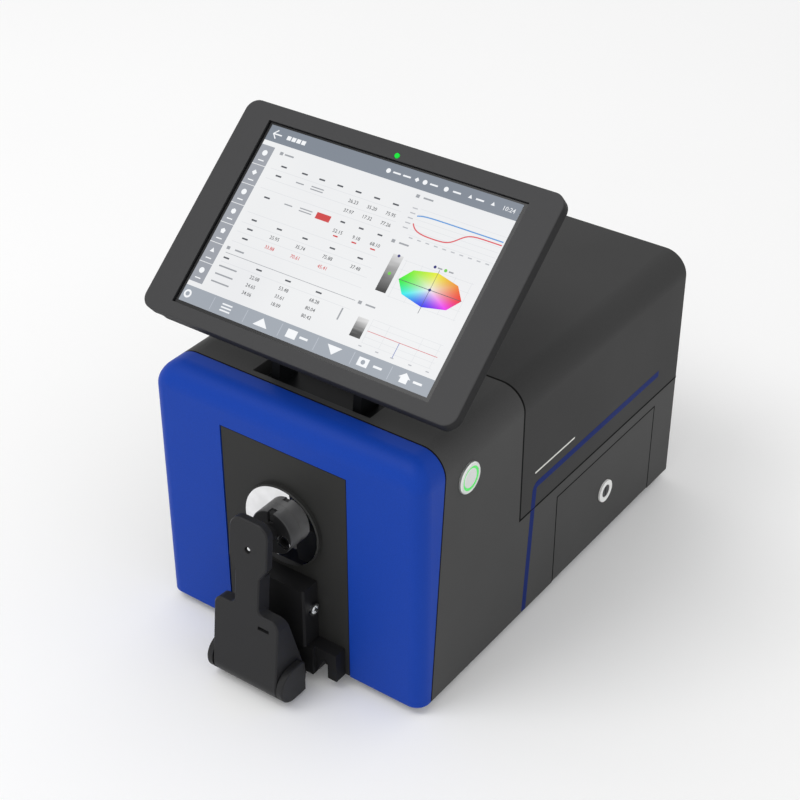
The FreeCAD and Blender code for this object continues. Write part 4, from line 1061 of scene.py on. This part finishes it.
cover_spots = [screen_middle / mm + across * screen_right + up * screen_up + 3 * far_off * screen_out
               for across in (-100, 100) for up in (-50, 50)]
screws("cover_screws", "display", "display_cover", cover_spots, screen_out, 2.4, 1.2)

# %% [markdown]
# Most of the last pieces are turned: a profile of radius and height, carried once round an axis. The
# first is the white tile in the drawer, glazed ceramic with a rounded rim, pressed into its black mount.


# %% Tile in the drawer
def turned(profile, middle, axis, spokes=64):
    """A profile of radius and height carried round an axis; it starts and ends on the axis."""
    flat = ring(axis, [0.6, 0.0, 0.8], spokes)
    points = middle + profile[:, None, :1] * flat + profile[:, None, 1:] * axis
    return points.reshape(-1, 3), grid_faces(len(profile), spokes)


def glazed(name, colour):
    """Glazed ceramic: faint clouds in the white and in its gloss."""
    material, shader = start_finish(name, Specular_IOR_Level=0.4)
    clouds = pattern(shader, "Noise", 90.0, Detail=3.0)
    drive(shader, "Base Color", ramp(clouds, tone(colour, lift=-6), tone(colour), 0.3, 0.7))
    drive(shader, "Roughness", spread(clouds, 0.16, 0.24))
    return material


mount_low, mount_high = box_of("calibration_tile")
tile_radius = 24.6 * mm
tile_low = mount_high[2] - 3.2 * mm
tile_high = mount_high[2] - 0.8 * mm
edge = 0.6 * mm
bend = np.linspace(0, np.pi / 2, 7)
rim = np.stack([tile_radius - edge * (1 - np.cos(bend)), tile_high - edge * (1 - np.sin(bend))], axis=1)
tile_profile = np.concatenate([[[0, tile_low], [tile_radius, tile_low]], rim, [[0, tile_high]]])
tile_middle = (mount_low + mount_high) / 2 * [1, 1, 0]
tile_skin = turned(tile_profile, tile_middle, np.array([0, 0, 1.0]))
make_piece("tile_face", [tile_skin], glazed("tile_glaze", (238, 239, 236)), "drawer")

# %% [markdown]
# The pad that presses the sample gets its fittings: cups in its eyelets, a key in its notch, a soft
# facing that meets the port, and a bright tip on its stem.

# %% Fittings on the pad
forwards = np.array([0, -1.0, 0])
eyelet_low, eyelet_high = box_of("pad_eyelets")
eyelet_inset = 5.6 * mm
cup_radius = 4.1 * mm
cup_depth = 4.6 * mm
cup_wall = 0.3 * mm
cup_inside = cup_radius - cup_wall
cup_profile = np.array([[0, 0], [cup_radius, 0], [cup_radius, cup_depth], [cup_inside, cup_depth],
                        [cup_inside, cup_wall], [0, cup_wall]])
cup_spots = [np.array([across, eyelet_high[1] - 0.1 * mm, (eyelet_low[2] + eyelet_high[2]) / 2])
             for across in (eyelet_low[0] + eyelet_inset, eyelet_high[0] - eyelet_inset)]
cup_skins = [turned(cup_profile, spot, forwards, 40) for spot in cup_spots]
make_piece("eyelet_cups", cup_skins, socket_black, "pad")

key_half = 2.45 * mm
key_low = (-key_half, pad_back + 1.0 * mm, pad_high[2] - 8.95 * mm)
key_high = (key_half, pad_back + 5.3 * mm, pad_high[2] - 1.0 * mm)
make_piece("pad_key", [solid_bar(key_low, key_high)], socket_black, "pad")

pad_radius = pad_high[0]
facing_start = -pad_high[1] + 0.05 * mm
facing_end = -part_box("aperture_plate")[0].y + 0.03 * mm
facing_profile = np.array([[0, facing_start], [pad_radius, facing_start], [pad_radius, facing_end],
                           [0, facing_end]])
facing_skin = turned(facing_profile, (pad_low + pad_high) / 2 * [0, 0, 1], forwards)
make_piece("pad_facing", [facing_skin], pad_black, "pad")

stem_low, stem_high = box_of("pad_stem")
tip_radius = 2.1 * mm
tip_start = -stem_low[1] - 0.2 * mm
tip_end = -stem_low[1] + 2.2 * mm
tip_dome = 0.9 * mm
bend = np.linspace(0, np.pi / 2, 9)
dome = np.stack([tip_radius * np.cos(bend), tip_end - tip_dome * (1 - np.sin(bend))], axis=1)
tip_profile = np.concatenate([[[0, tip_start], [tip_radius, tip_start]], dome])
tip_skin = turned(tip_profile, (stem_low + stem_high) / 2 * [0, 0, 1], forwards, 40)
make_piece("stem_tip", [tip_skin], chrome, "pad")

# %% [markdown]
# Deep inside, the lens before the spectrometer bulges on both sides. Each face is a parabola, which for
# so flat a lens is close to the sphere that a real one is ground to.

# %% Lens before the spectrometer
lens_low, lens_high = box_of("entrance_lens")
lens_radius, lens_half = (lens_high - lens_low)[:2] / 2
lens_edge = 0.35
share = np.linspace(0, 1, 13)
bulge = lens_half * (1 - (1 - lens_edge) * share ** 2)
face = np.stack([lens_radius * share, bulge], axis=1)
lens_profile = np.concatenate([face, (face * [1, -1])[::-1]])
lens_skin = turned(lens_profile, (lens_low + lens_high) / 2, -forwards)
lens = make_piece("lens_body", [lens_skin], lens_glass, "instrument")
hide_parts("entrance_lens")
